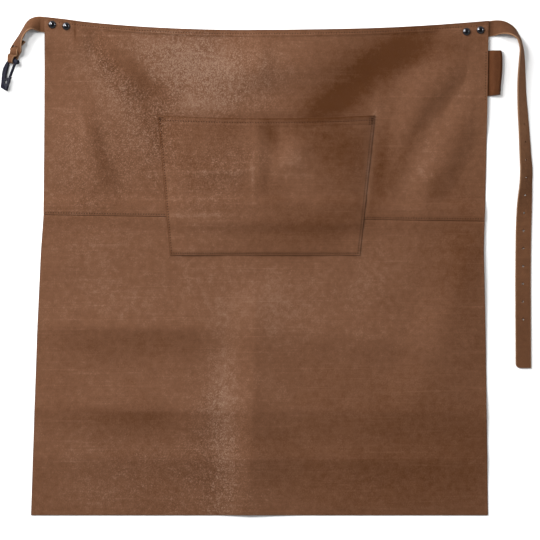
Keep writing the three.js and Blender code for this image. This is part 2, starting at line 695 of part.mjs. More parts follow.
// The finished apron's origin is the middle of its box, on the table
const box = new THREE.Box3().setFromObject(apron, true);
const middle = box.getCenter(new THREE.Vector3());
apron.position.set(-middle.x, -middle.y, 0);

const part = new THREE.Group();
part.add(apron);
export default part;
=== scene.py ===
# %% [markdown]
# # A leather waist apron, laid flat
#
# The apron lies on a pale floor with its front up: two panels of brown leather, a patch pocket, a towel
# loop, two riveted straps and a small black hook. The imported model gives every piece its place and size.
# This lesson dresses it: fine sheets with rounded cut edges, real stitches, real holes and leather
# finishes.

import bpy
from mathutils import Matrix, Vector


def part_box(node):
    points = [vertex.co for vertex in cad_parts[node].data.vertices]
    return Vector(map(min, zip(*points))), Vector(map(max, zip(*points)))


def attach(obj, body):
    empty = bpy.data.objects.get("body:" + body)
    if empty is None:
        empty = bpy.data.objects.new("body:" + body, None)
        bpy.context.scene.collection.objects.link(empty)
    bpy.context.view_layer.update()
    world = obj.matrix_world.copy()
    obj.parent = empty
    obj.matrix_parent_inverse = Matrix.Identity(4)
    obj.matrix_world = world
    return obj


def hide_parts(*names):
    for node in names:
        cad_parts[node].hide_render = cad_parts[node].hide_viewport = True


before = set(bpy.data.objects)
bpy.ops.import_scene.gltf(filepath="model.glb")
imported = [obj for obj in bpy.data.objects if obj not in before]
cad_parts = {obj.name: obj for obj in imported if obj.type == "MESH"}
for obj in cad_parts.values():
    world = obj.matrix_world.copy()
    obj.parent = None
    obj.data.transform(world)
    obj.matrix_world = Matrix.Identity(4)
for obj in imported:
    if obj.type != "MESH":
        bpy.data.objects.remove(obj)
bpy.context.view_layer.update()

# %% [markdown]
# ## One place for the drawing
#
# All tables below are in millimetres on the apron's own drawing: x = 0 on the centre line, y = 0 at the
# lowest point of the waist, z = 0 on the floor. The lower panel is as wide on both sides of the centre
# line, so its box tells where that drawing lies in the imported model.

# %% The drawing's place in the frame
import math

import bpy
import numpy as np
from mathutils import Matrix, Vector

MM = 0.001
HEM_DROP = 637

panel_low, panel_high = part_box("lower_panel")
SHIFT = np.array([(panel_low.x + panel_high.x) / 2 / MM, panel_low.y / MM + HEM_DROP, 0.0])


def in_frame(points):
    return (np.asarray(points, float) + SHIFT) * MM


print("drawing shifted by", SHIFT.round(3))

# %% [markdown]
# ## Camera first
#
# The apron is seen from straight above. A long lens far away keeps the raised edges of the straps from
# leaning outwards, and the field of view is set by the width of floor that the picture shows.

# %% Camera
VIEW_CENTRE = (13.8, -315.1)
VIEW_WIDTH = 709
CAMERA_HEIGHT = 6.0
SENSOR = 36.0

middle = in_frame((*VIEW_CENTRE, 0))
bpy.ops.object.camera_add(location=(middle[0], middle[1], CAMERA_HEIGHT), rotation=(0, 0, 0))
camera = bpy.context.object
camera.data.sensor_width = SENSOR
camera.data.lens = SENSOR * CAMERA_HEIGHT / (VIEW_WIDTH * MM)
camera.data.clip_end = 100
bpy.context.scene.camera = camera
print("lens", round(camera.data.lens, 1), "mm")

# %% [markdown]
# ## Finishes from nodes
#
# A finish is a small tree of nodes that ends in one Principled shader. The helpers below add a node, set
# its options and fill its inputs: a socket is linked, anything else is set as a plain value. All patterns
# read Object coordinates, which are metres here, so a scale of 900 means spots of about 1 mm.

# %% Node helpers
def fill(tree, target, inputs):
    for key, value in dict(inputs).items():
        if isinstance(value, bpy.types.NodeSocket):
            tree.links.new(value, target.inputs[key])
        else:
            target.inputs[key].default_value = value


def node(tree, kind, inputs=(), **options):
    made = tree.nodes.new(kind)
    for option, value in options.items():
        setattr(made, option, value)
    fill(tree, made, inputs)
    return made


def finish(name):
    made = bpy.data.materials.new(name)
    made.use_nodes = True
    tree = made.node_tree
    place = node(tree, "ShaderNodeTexCoord").outputs["Object"]
    return made, tree, tree.nodes["Principled BSDF"], place


def noise(tree, place, scale, detail=3.0):
    made = node(tree, "ShaderNodeTexNoise", {"Vector": place, "Scale": scale, "Detail": detail})
    return made.outputs["Fac"]


def map_range(tree, value, source, target, kind="LINEAR"):
    ends = zip(("From Min", "From Max", "To Min", "To Max"), (*source, *target))
    inputs = {"Value": value, **dict(ends)}
    return node(tree, "ShaderNodeMapRange", inputs, interpolation_type=kind).outputs["Result"]


NOISE_RANGE = (0.3, 0.7)


def spread(tree, value, low, high):
    return map_range(tree, value, NOISE_RANGE, (low, high))


def maths(tree, operation, first, second):
    return node(tree, "ShaderNodeMath", {0: first, 1: second}, operation=operation).outputs["Value"]


def ramp(tree, value, colours):
    made = node(tree, "ShaderNodeValToRGB", {"Fac": value})
    stops = made.color_ramp.elements
    while len(stops) < len(colours):
        stops.new(0.5)
    for index, colour in enumerate(colours):
        stops[index].position = index / (len(colours) - 1)
        stops[index].color = (*colour, 1)
    return made.outputs["Color"]


def raised(tree, height, depth):
    inputs = {"Height": height, "Strength": 1.0, "Distance": depth * MM}
    return node(tree, "ShaderNodeBump", inputs).outputs["Normal"]


print("node helpers ready")

# %% [markdown]
# ## Leather
#
# Oiled leather is never one colour. Broad clouds and small mottling move it between a deep, a middle and a
# pale brown. Two values painted on the mesh steer it: tone, which makes the hide paler or deeper and also
# carries painted light and shade of the folds, and grain, where its pebbles stand out. The pebbles are
# Voronoi cells of two sizes: each cell is a pebble with a brightness of its own, partly its tone and partly
# a painted glint, and its edge is a fine crease, painted a little darker as shade. Noise stretched far along
# one direction leaves faint scratches.

# %% Pebbles and scratches
WANDER_SCALE = 0.7
WANDER = 0.8
CREASE = 0.4
SCRATCH_STRETCH = (9, 420, 60)
SCRATCH_RANGE = (0.58, 0.75)


def pebbles(tree, place, size):
    scale = 1 / (size * MM)
    inputs = {"Vector": place, "Scale": WANDER_SCALE * scale, "Detail": 2.0}
    wander = node(tree, "ShaderNodeTexNoise", inputs)
    inputs = {"Fac": WANDER * size * MM, "Color1": place, "Color2": wander.outputs["Color"]}
    bent = node(tree, "ShaderNodeMixRGB", inputs).outputs["Color"]
    edges = node(tree, "ShaderNodeTexVoronoi", {"Vector": bent, "Scale": scale}, feature="DISTANCE_TO_EDGE")
    cells = node(tree, "ShaderNodeTexVoronoi", {"Vector": bent, "Scale": scale})
    dome = map_range(tree, edges.outputs["Distance"], (0.0, CREASE), (0.0, 1.0), "SMOOTHSTEP")
    return dome, cells.outputs["Color"]


def painted(tree, name):
    return node(tree, "ShaderNodeAttribute", attribute_name=name).outputs["Fac"]


def scratches(tree, place, turn, strength):
    turned = {"Vector": place, "Rotation": (0, 0, math.radians(turn)), "Scale": SCRATCH_STRETCH}
    lines = noise(tree, node(tree, "ShaderNodeMapping", turned).outputs["Vector"], 1, 3)
    return map_range(tree, lines, SCRATCH_RANGE, (0.0, strength))


print("pebbles and scratches ready")

# %% Leather, front side
PEBBLE = 1.2
FINE_PEBBLE = 0.75
GRAIN_BASE = 0.24
SHADE_BASE = 0.425
MEAN_PEBBLE_TONE_AND_GLINT = 0.33
# scales of noise, in spots to the metre
CLOUDS = 11
GRAIN_SPOTS = 45
GLOSS_SPOTS = 60
MOTTLING = 130
PORES = 1500
# turn in degrees, strength
SCRATCHES = [(4, 0.04), (84, 0.12), (62, 0.08)]


def leather(name, deep, middle, pale, roughness, depth, shine):
    made, tree, shader, place = finish(name)
    patches = spread(tree, noise(tree, place, GRAIN_SPOTS, 3), 0.5, 1.0)
    strength = maths(tree, "MULTIPLY", maths(tree, "ADD", painted(tree, "grain"), GRAIN_BASE), patches)
    dome, tint = pebbles(tree, place, PEBBLE)
    coarse = maths(tree, "MULTIPLY", dome, strength)
    fine = pebbles(tree, place, FINE_PEBBLE)[0]
    # each pebble's brightness: part tone, part painted glint, with few bright specks
    pebble_tone_and_glint = maths(tree, "SUBTRACT", maths(tree, "POWER", tint, 2), MEAN_PEBBLE_TONE_AND_GLINT)
    layers = [
        spread(tree, noise(tree, place, CLOUDS, 4), -0.06, 0.06),
        spread(tree, noise(tree, place, MOTTLING, 5), -0.08, 0.08),
        # crease edges painted a little darker as shade
        maths(tree, "MULTIPLY", coarse, 0.1),
        maths(tree, "MULTIPLY", pebble_tone_and_glint, strength),
    ]
    layers += [scratches(tree, place, *scratch) for scratch in SCRATCHES]
    shade = maths(tree, "ADD", painted(tree, "tone_and_shade"), SHADE_BASE)
    for layer in layers:
        shade = maths(tree, "ADD", shade, layer)
    gloss = noise(tree, place, GLOSS_SPOTS, 4)
    pores = maths(tree, "MULTIPLY", noise(tree, place, PORES, 3), 0.2)
    height = maths(tree, "ADD", coarse, maths(tree, "ADD", maths(tree, "MULTIPLY", fine, 0.3), pores))
    fill(tree, shader, {
        "Base Color": ramp(tree, shade, [deep, middle, pale]),
        "Roughness": spread(tree, gloss, roughness - 0.06, roughness + 0.06),
        "Normal": raised(tree, height, depth),
        "Specular IOR Level": shine,
    })
    return made


panel_grain = leather(
    "panel_grain", (0.041, 0.0125, 0.0021), (0.0895, 0.0396, 0.0194), (0.164, 0.096, 0.0645),
    roughness=0.55, depth=0.5, shine=0.065,
)
strap_grain = leather(
    "strap_grain", (0.037, 0.0145, 0.006), (0.071, 0.0305, 0.0142), (0.135, 0.063, 0.031),
    roughness=0.7, depth=0.3, shine=0.04,
)
loop_grain = leather(
    "loop_grain", (0.031, 0.0088, 0.0032), (0.055, 0.0195, 0.0069), (0.095, 0.037, 0.015),
    roughness=0.75, depth=0.4, shine=0.05,
)
strap_back = leather(
    "strap_back", (0.044, 0.018, 0.008), (0.076, 0.034, 0.0165), (0.14, 0.073, 0.04),
    roughness=0.85, depth=0.3, shine=0.03,
)
print("leather finishes", panel_grain.name, strap_grain.name, loop_grain.name, strap_back.name)

# %% [markdown]
# ## The flesh side and the cut edge
#
# The back of a hide is a short suede nap: matt, paler and a little fuzzy. A cut edge shows the fibres
# packed in layers, darkened by the edge dressing. Both are simple noise finishes with hardly any shine.

# %% Flesh side and cut edge
def napped(name, dark, light, fibre_size, depth):
    made, tree, shader, place = finish(name)
    fibre = noise(tree, place, 1 / (fibre_size * MM), 6)
    fill(tree, shader, {
        "Base Color": ramp(tree, spread(tree, fibre, 0.0, 1.0), [dark, light]),
        "Normal": raised(tree, fibre, depth),
        "Roughness": 0.92,
        "Specular IOR Level": 0.15,
    })
    return made


flesh_side = napped("flesh_side", (0.062, 0.029, 0.0135), (0.112, 0.058, 0.03), fibre_size=1.1, depth=0.2)
panel_edge = napped(
    "panel_edge", (0.046, 0.0185, 0.0078), (0.082, 0.0375, 0.018), fibre_size=0.5, depth=0.1
)
strap_edge = napped("strap_edge", (0.095, 0.047, 0.024), (0.165, 0.092, 0.05), fibre_size=0.5, depth=0.1)
# front, back and cut edge
PANEL_FINISHES = (panel_grain, flesh_side, panel_edge)
STRAP_FINISHES = (strap_grain, strap_back, strap_edge)
TURNED_FINISHES = (strap_back, strap_grain, strap_edge)
LOOP_FINISHES = (flesh_side, loop_grain, panel_edge)
print("nap and edge finishes", flesh_side.name, panel_edge.name, strap_edge.name)

# %% [markdown]
# ## Thread and metal
#
# The sewing thread is a matt, dark brown cord. The rivet caps are polished gunmetal, and the hook is
# black and satin, with faint scuffs that only show in how it shines.

# %% Thread and metal finishes
def thread_finish(name):
    made, tree, shader, place = finish(name)
    ply = noise(tree, place, 1400, 2)
    colours = [(0.011, 0.0042, 0.0018), (0.03, 0.0115, 0.005)]
    fill(tree, shader, {
        "Base Color": ramp(tree, spread(tree, ply, 0.0, 1.0), colours),
        "Normal": raised(tree, ply, 0.08),
        "Roughness": 0.85,
        "Specular IOR Level": 0.05,
    })
    return made


def metal_finish(name, dark, light, roughness, metallic, shine, coat):
    made, tree, shader, place = finish(name)
    scuff = noise(tree, place, 700, 6)
    fill(tree, shader, {
        "Base Color": ramp(tree, spread(tree, scuff, 0.0, 1.0), [dark, light]),
        "Roughness": spread(tree, scuff, *roughness),
        "Metallic": metallic,
        "Specular IOR Level": shine,
        "Coat Weight": coat,
        "Coat Roughness": 0.04,
    })
    return made


sewing_thread = thread_finish("sewing_thread")
rivet_gunmetal = metal_finish(
    "rivet_gunmetal", (0.006, 0.006, 0.008), (0.016, 0.016, 0.02),
    roughness=(0.08, 0.14), metallic=0.9, shine=0.5, coat=0.7,
)
hook_black = metal_finish(
    "hook_black", (0.003, 0.003, 0.006), (0.008, 0.008, 0.014),
    roughness=(0.18, 0.28), metallic=0.0, shine=0.03, coat=0.0,
)
print("thread and metal finishes", sewing_thread.name, rivet_gunmetal.name, hook_black.name)

# %% [markdown]
# ## The body's outline
#
# The waist dips in the middle, the lapped seam slants a little, and the sides widen towards the bottom.
# Each is a short function on whole arrays, so that thousands of grid points are placed at once.

# %% Outline of the body
PANEL_LEATHER = 1.6
GAP = 0.3
WAIST_RISE = {"left": 19.5, "right": 12}
WAIST_CURVE = 2.2
SEAM_DROP = 246.6
SEAM_SLANT = 4.4
BODY_HALF = 300
WAIST_WIDTH = 583

# height, left edge, right edge
SIDES = np.array([
    (17, -282, 301), (-110, -282.5, 299), (-243, -283.5, 296),
    (-290, -287, 294.5), (-400, -292, 297), (-637, -300, 300),
])


def ease(share):
    share = np.clip(share, 0, 1)
    return share * share * (3 - 2 * share)


def waist_y(x):
    rise = np.where(x < 0, WAIST_RISE["left"], WAIST_RISE["right"])
    return rise * (np.abs(x) / BODY_HALF) ** WAIST_CURVE


def seam_y(x):
    return -SEAM_DROP - SEAM_SLANT * x / BODY_HALF


def side_x(y, across):
    left = np.interp(-y, -SIDES[:, 0], SIDES[:, 1])
    right = np.interp(-y, -SIDES[:, 0], SIDES[:, 2])
    return left + (right - left) * across


print("waist corners", waist_y(np.array([-282, 301])).round(1))

# %% [markdown]
# ## Folds in the lying leather
#
# A fold is a crest between two points with a bell-shaped section that reaches a given way to its left and
# right, and fades out past both ends. Adding up a table of them gives the body its calm waves: a long
# crease down the middle, drag lines from the riveted corners, and storage folds across the lower half.

# %% Folds
# crest from x, y to x, y, then height, reach to the left and to the right of the crest, and how round it is
FOLDS = [
    (3, 5, -1, -100, 3, 30, 60, 1.3),
    (112, 7, -19, -92, 9, 90, 90, 2),
    (-4, -325, -14, -637, 6.5, 75, 46, 1.3),
    (268, -32, 160, -140, 7, 36, 42, 2),
    (290, -75, 217, -217, 4.5, 32, 32, 2),
    (-203, -13, -140, -100, 5.5, 30, 36, 1.7),
    (-236, -118, -203, -210, 5, 26, 36, 2),
    (-282, -390, -45, -393, 4.5, 60, 50, 1.2),
    (40, -394, 211, -414, 3, 45, 40, 1.5),
    (-294, -498, -12, -500, 6, 80, 85, 1.2),
    (3, -500, 299, -503, 4.5, 70, 85, 1.2),
    (-296, -562, 299, -565, 3, 30, 40, 1.4),
    (283, -276, 208, -479, 6, 85, 50, 1.6),
]
FOLD_TAPER = 0.3


def fold_height(fold, x, y):
    x0, y0, x1, y1, height, left, right, roundness = fold
    length = math.hypot(x1 - x0, y1 - y0)
    run_x, run_y = (x1 - x0) / length, (y1 - y0) / length
    along = ((x - x0) * run_x + (y - y0) * run_y) / length
    leftward = run_x * (y - y0) - run_y * (x - x0)
    away = np.clip(np.abs(leftward) / np.where(leftward > 0, left, right), 0, 1)
    ends = ease((along + FOLD_TAPER) / (2 * FOLD_TAPER))
    ends = ends * ease((1 - along + FOLD_TAPER) / (2 * FOLD_TAPER))
    return height * (1 - away ** roundness) ** 2 * ends


def all_folds(folds, x, y):
    return sum(fold_height(fold, x, y) for fold in folds)


print(len(FOLDS), "folds")

# %% [markdown]
# ## Where the pocket lies, the body is flat
#
# The sewn pocket holds the leather under it flat. A distance from the pocket's outline fades the folds
# out there. A faint ripple of a few tenths of a millimetre keeps even the flat places from looking
# pressed.

# %% Underside of the body
POCKET_LEFT = (-133.7, -117.6)
POCKET_RIGHT = (151.6, 131.6)
POCKET_TOP = -112
POCKET_BOTTOM = -296
POCKET_HEIGHT = POCKET_TOP - POCKET_BOTTOM
POCKET_FLAT_MARGIN = 18
POCKET_FADE = 52
LONG_RIPPLE = 0.35
SHORT_RIPPLE = 0.12


def outside(value, low, high):
    return np.maximum(np.maximum(low - value, value - high), 0)


def pocket_sides(down):
    left = POCKET_LEFT[0] + (POCKET_LEFT[1] - POCKET_LEFT[0]) * down
    right = POCKET_RIGHT[0] + (POCKET_RIGHT[1] - POCKET_RIGHT[0]) * down
    return left, right


def outside_pocket(x, y):
    left, right = pocket_sides(np.clip((POCKET_TOP - y) / POCKET_HEIGHT, 0, 1))
    return np.hypot(outside(x, left, right), outside(y, POCKET_BOTTOM, POCKET_TOP))


def body_under(x, y):
    away = ease((outside_pocket(x, y) - POCKET_FLAT_MARGIN) / POCKET_FADE)
    return all_folds(FOLDS, x, y) * away


def ripple(x, y):
    long_wave = np.sin(x / 19 + 0.7 * np.sin(y / 31)) * np.sin(y / 23 + 0.9 * np.sin(x / 37))
    short_wave = np.sin((x + 0.6 * y) / 7.3) * np.sin((y - 0.4 * x) / 8.9 + 1.3)
    return LONG_RIPPLE * long_wave + SHORT_RIPPLE * short_wave


samples = np.meshgrid(np.arange(-280, 300, 20), np.arange(-630, 0, 20))
print("highest fold", all_folds(FOLDS, *samples).max())

# %% [markdown]
# ## From a grid to a piece of leather
#
# Cloth and leather start as a flat grid. Its points are moved to the front surface, Solidify gives it a
# back and a rim, the back is set to its own surface, and a small bevel rounds the cut edge. Solidify's
# material offsets give the back the flesh side and the rim the cut edge.

# %% Grid helpers
def start_fresh():
    bpy.ops.object.select_all(action="DESELECT")


def pick(piece):
    start_fresh()
    piece.select_set(True)
    bpy.context.view_layer.objects.active = piece


def edit_all():
    bpy.ops.object.mode_set(mode="EDIT")
    bpy.ops.mesh.select_all(action="SELECT")


def set_points(piece, points):
    piece.data.vertices.foreach_set("co", np.asarray(points, np.float32).ravel())
    piece.data.update()


def get_points(piece):
    flat = np.empty(len(piece.data.vertices) * 3, np.float32)
    piece.data.vertices.foreach_get("co", flat)
    return flat.reshape(-1, 3)


def flat_grid(name, rows, columns):
    start_fresh()
    bpy.ops.mesh.primitive_grid_add(x_subdivisions=columns - 1, y_subdivisions=rows - 1, size=1)
    piece = bpy.context.object
    piece.name = piece.data.name = name
    points = get_points(piece)
    row = np.rint((0.5 - points[:, 1]) * (rows - 1)).astype(int)
    column = np.rint((0.5 + points[:, 0]) * (columns - 1)).astype(int)
    return piece, row, column


print("grid helpers ready")

# %% Rounded edges and sheets
SHARP = math.radians(62)
SMOOTH = math.radians(48)
EDGE_ROUND = 0.4


def round_sharp_edges(piece, width):
    pick(piece)
    bpy.ops.object.mode_set(mode="EDIT")
    bpy.ops.mesh.select_mode(type="EDGE")
    bpy.ops.mesh.select_all(action="DESELECT")
    bpy.ops.mesh.edges_select_sharp(sharpness=SHARP)
    bpy.ops.mesh.bevel(offset=width * MM, segments=2, affect="EDGES", clamp_overlap=True)
    bpy.ops.object.mode_set(mode="OBJECT")
    bpy.ops.object.shade_smooth_by_angle(angle=SMOOTH)


def leather_piece(name, front, back, finishes):
    rows, columns = front.shape[:2]
    piece, row, column = flat_grid(name, rows, columns)
    set_points(piece, in_frame(front[row, column]))
    for made in finishes:
        piece.data.materials.append(made)
    wall = piece.modifiers.new("leather", "SOLIDIFY")
    wall.thickness = PANEL_LEATHER * MM
    wall.offset = -1
    wall.material_offset = 1
    wall.material_offset_rim = 2
    bpy.ops.object.modifier_apply(modifier=wall.name)
    set_points(piece, in_frame(np.concatenate([front[row, column], back[row, column]])))
    round_sharp_edges(piece, EDGE_ROUND)
    print(name, len(piece.data.polygons), "faces")
    return piece


print("cut edges are rounded by", EDGE_ROUND, "mm")

# %% [markdown]
# ## Tone, painted light and shade, and grain
#
# A float attribute stores one number for each point of a mesh, and the leather finish reads it by name. Two
# short charts of soft patches fill them. The first mixes the hide's own paler and deeper tone with painted
# light and shade: the lit and shaded sides of the folds, the rolled right strap and the knot are painted
# paler or darker as light falls on them. The second sets where the pebbles stand out and their painted
# glints are strongest: coarser on the waist's left side and low in the middle. A dark line is painted along
# the folded waist edge and the pocket's left side, and a painted shadow along the pocket's mouth.

# %% Tone and grain patches
# painted light and shade of the folds, the rolled right strap and the knot, mixed with the hide's own tone
# centre x, y, half length, half width, turn in degrees, strength
TONE_AND_SHADE_PATCHES = [
    (-80, -46, 85, 42, -12, 0.36), (-188, -96, 85, 17, -54, 0.16), (-160, -58, 55, 13, -41, -0.22),
    (-208, -165, 45, 11, -72, -0.15), (-240, -175, 50, 110, 0, 0.06), (-75, -100, 52, 14, 4, 0.18),
    (132, -66, 88, 29, 38, -0.42), (188, -26, 72, 29, 8, -0.3), (185, -172, 58, 12, 62, -0.18),
    (212, -175, 55, 12, 62, 0.05), (230, -206, 22, 8, 75, -0.14), (-60, -130, 70, 16, 0, -0.1),
    (16, -142, 10, 28, 15, -0.24), (44, -169, 34, 25, -20, 0.22), (-9, -196, 28, 3, 90, 0.18),
    (-60, -187, 45, 3, 0, 0.14), (-70, -243, 60, 3.5, 0, 0.14), (100, -158, 52, 38, 0, -0.28),
    (85, -252, 72, 30, 12, -0.24), (20, -215, 20, 30, 0, -0.12), (268, -300, 36, 95, 0, -0.27),
    (220, -560, 180, 100, 0, -0.24), (-170, -508, 115, 14, 0, -0.16), (-160, -410, 110, 18, 0, -0.1),
    (-46, -515, 22, 115, 0, 0.26), (-70, -345, 190, 50, 0, 0.09), (35, -385, 75, 32, 0, 0.06),
    (-75, -497, 40, 26, 0, 0.1), (8, -460, 34, 30, 0, 0.08), (94, -98, 40, 17, 15, -0.22),
    (160, -176, 45, 11, 80, -0.26), (143, -185, 95, 4.5, 84, 0.32), (-242, -5, 14, 1.6, 90, -0.3),
    (345, -105, 14, 100, 0, 0.5), (325, 2, 28, 12, 0, -0.12), (-314, -26, 18, 18, 0, -0.2),
]
# where the pebbles stand out and their painted glints are strongest, mostly on the lit ridges
GRAIN_AND_GLINT_PATCHES = [
    (-195, -52, 55, 20, -59, 0.85), (-80, -54, 85, 52, -12, 0.92), (-140, -128, 34, 66, 0, 0.8),
    (-160, -58, 50, 12, -41, -0.5), (-222, -175, 50, 75, 0, 0.5), (-60, -185, 50, 45, 0, 0.5),
    (-52, -560, 28, 100, 0, 0.62), (-120, -590, 110, 60, 0, 0.35),
]
EDGE_SHADE = 0.4
EDGE_SHADE_WIDTH = 1.6


def patches_at(chart, x, y):
    total = np.zeros_like(x)
    for centre_x, centre_y, length, width, turn, strength in chart:
        c, s = math.cos(math.radians(turn)), math.sin(math.radians(turn))
        along = ((x - centre_x) * c + (y - centre_y) * s) / length
        across = ((y - centre_y) * c - (x - centre_x) * s) / width
        total += strength * np.exp(-(along ** 2 + across ** 2))
    return total


def paint(piece, from_edge=None):
    x, y, _ = (get_points(piece) / MM - SHIFT).T
    tone_and_shade = patches_at(TONE_AND_SHADE_PATCHES, x, y)
    # a dark line painted along the given edge; at the pocket's mouth it is a painted shadow
    if from_edge:
        tone_and_shade -= EDGE_SHADE * np.exp(-from_edge(x, y) / EDGE_SHADE_WIDTH)
    for name, values in (("tone_and_shade", tone_and_shade), ("grain", patches_at(GRAIN_AND_GLINT_PATCHES, x, y))):
        layer = piece.data.attributes.new(name, "FLOAT", "POINT")
        layer.data.foreach_set("value", values.astype(np.float32))


print(len(TONE_AND_SHADE_PATCHES), "tone patches", len(GRAIN_AND_GLINT_PATCHES), "grain patches")

# %% [markdown]
# ## Upper panel
#
# The waist edge is folded to the back and sewn, so the front stands a leather's thickness higher along it.
# The corners are lifted by the strap ends that are riveted under them, and the right edge by the towel
# loop. The edge at the seam is skived, which is a thinning of the leather so that the lap lies flat. Rows
# of points stand closer together at the hem and the seam, where the stitches pull furrows.

# %% Upper panel's lifts and marks
WAIST_HEM = 7
WAIST_HEM_STEP = 3
EDGE_FALL = 0.5
SEAM_LAP = 12
LAP_RAMP = 17
LAP_START = SEAM_DROP - SEAM_LAP - LAP_RAMP
LAP_LIFT = PANEL_LEATHER + 2 * GAP
PANEL_SEAT = 4.0
CORNER_REACH = 41
CORNER_DROP = 24
LOOP_HIDDEN = 15
LOOP_LIFT = 3.6
LIFT_FADE = 38
STRAP_MARK = 18
HEM_STITCH = 5.2
SEAM_STITCH = 2.5
SKIVED = 0.7
SKIVED_WIDTH = 3
FURROW = 0.35
FURROW_WIDTH = 1.1
# height, radius and width of the ring round a rivet, then depth and radius of the dent in it
RIVET_RING = (0.3, 8, 2)
RIVET_DENT = (0.15, 5)
RIVETS = {
    "rivet_left_outer": (-271.9, 6.8), "rivet_left_inner": (-253.5, 4.6),
    "rivet_right_inner": (271.7, -2.5), "rivet_right_outer": (290, -0.4),
}

# from and to along the waist, from and to down from it, height
LIFTS = [
    (0, CORNER_REACH, 0, CORNER_DROP, PANEL_SEAT),
    (WAIST_WIDTH - CORNER_REACH, WAIST_WIDTH, 0, CORNER_DROP, PANEL_SEAT),
    (WAIST_WIDTH - LOOP_HIDDEN, WAIST_WIDTH, CORNER_DROP, 115, LOOP_LIFT),
]


def lift_at(distance, drop):
    total = np.zeros_like(distance)
    for start, end, top, bottom, height in LIFTS:
        away = np.hypot(outside(distance, start, end), outside(drop, top, bottom))
        total = np.maximum(total, height * (1 - ease(away / LIFT_FADE)))
    return total


def furrow(distance):
    return -FURROW * np.exp(-((distance / FURROW_WIDTH) ** 2))


def rivet_dents(x, y):
    height, radius, width = RIVET_RING
    depth, reach = RIVET_DENT
    total = np.zeros_like(x)
    for rivet_x, rivet_y in RIVETS.values():
        away = np.hypot(x - rivet_x, y - rivet_y)
        total += height * np.exp(-(((away - radius) / width) ** 2)) - depth * np.exp(-((away / reach) ** 2))
    return total


print("lifts", LIFTS)

# %% Upper panel's shape
def upper_place(across, drop):
    level = side_x(-drop, across)
    y = waist_y(level) + (seam_y(level) - waist_y(level)) * drop / SEAM_DROP
    return side_x(y, across), y


def upper_panel(across, drop):
    x, y = upper_place(across, drop)
    lift = lift_at(across * WAIST_WIDTH, drop)
    lap = LAP_LIFT * ease((drop - LAP_START) / LAP_RAMP)
    under = np.maximum(body_under(x, y), lift) + lap
    hem = (PANEL_LEATHER - GAP) * (1 - ease((drop - WAIST_HEM) / WAIST_HEM_STEP)) * (1 - ease(lift / 2))
    fold = -EDGE_FALL * np.exp(-drop / EDGE_FALL)
    sewn = furrow(drop - HEM_STITCH) + furrow(SEAM_DROP - SEAM_STITCH - drop)
    sewn = sewn + furrow(across * WAIST_WIDTH - CORNER_REACH) * (1 - ease(drop / STRAP_MARK - 0.5))
    thinned = SKIVED * ease((drop - SEAM_DROP) / SKIVED_WIDTH + 1)
    over = under + PANEL_LEATHER - thinned + hem + fold + sewn + rivet_dents(x, y)
    over = over + ripple(x, y) * ease(drop / 20) * ease((SEAM_DROP - drop) / 30)
    return np.stack([x, y, over], -1), np.stack([x, y, under], -1)


def from_waist(x, y):
    return np.abs(waist_y(x) - y)


print("waist middle at", upper_panel(np.array([0.5]), np.array([0.0]))[0].round(2))

# %% Upper panel's grid
def shares(edges, step, length):
    inner = np.linspace(edges[-1], length - edges[-1], round((length - 2 * edges[-1]) / step) + 1)
    return np.concatenate([edges[:-1], inner, length - np.array(edges[:-1])[::-1]])


COLUMN_STEP = 3.0
EDGE_STEPS = [0, 0.8, 1.8, 3, 4.4, *range(6, 46, 2)]
HEM_ROWS = [0, 0.8, 1.6, 2.6, 3.6, 4.4, 5.2, 6, 6.8, 7.8, 9, 10.4, 12, 14]
SEAM_ROWS = [12, 9.5, 7.5, 6, 4.9, 4, 3.2, 2.5, 1.8, 1.2, 0.6, 0]

upper_columns = shares(EDGE_STEPS, COLUMN_STEP, WAIST_WIDTH) / WAIST_WIDTH
middle_rows = np.linspace(HEM_ROWS[-1], SEAM_DROP - SEAM_ROWS[0], 78)[1:-1]
upper_rows = np.concatenate([HEM_ROWS, middle_rows, SEAM_DROP - np.array(SEAM_ROWS)])
upper_grid = np.meshgrid(upper_columns, upper_rows)
upper = leather_piece("upper_panel_leather", *upper_panel(*upper_grid), PANEL_FINISHES)
paint(upper, from_waist)

# %% [markdown]
# ## Lower panel
#
# The lower panel starts a lap's width above the seam, under the upper panel, and ends in a raw edge. Its
# side edges follow the same line as the upper panel's, so they meet at the seam. Just below the lap the
# leather is pressed up against the skived edge.

# %% Lower panel
LAP_PRESS = (0.4, 0.8)
LAP_GROOVE = 1.2


def lower_panel(across, down):
    head_y = upper_place(across, np.full_like(down, SEAM_DROP - SEAM_LAP))[1]
    seam = upper_place(across, np.full_like(down, SEAM_DROP))[1]
    below_edge = down - SEAM_LAP
    lapped = head_y + (seam - head_y) * down / SEAM_LAP
    hanging = seam + (-HEM_DROP - seam) * (below_edge / (HEM_DROP - SEAM_DROP))
    y = np.where(down < SEAM_LAP, lapped, hanging)
    x = side_x(y, across)
    pressed_up = LAP_PRESS[0] + LAP_PRESS[1] * ease((below_edge - GAP) / LAP_GROOVE)
    under = body_under(x, y) + pressed_up * (1 - ease((below_edge - SKIVED_WIDTH) / LAP_RAMP))
    edge = ease(down / 30) * ease((HEM_DROP - SEAM_DROP + SEAM_LAP - down) / 20)
    over = under + PANEL_LEATHER + ripple(x, y) * edge
    return np.stack([x, y, over], -1), np.stack([x, y, under], -1)


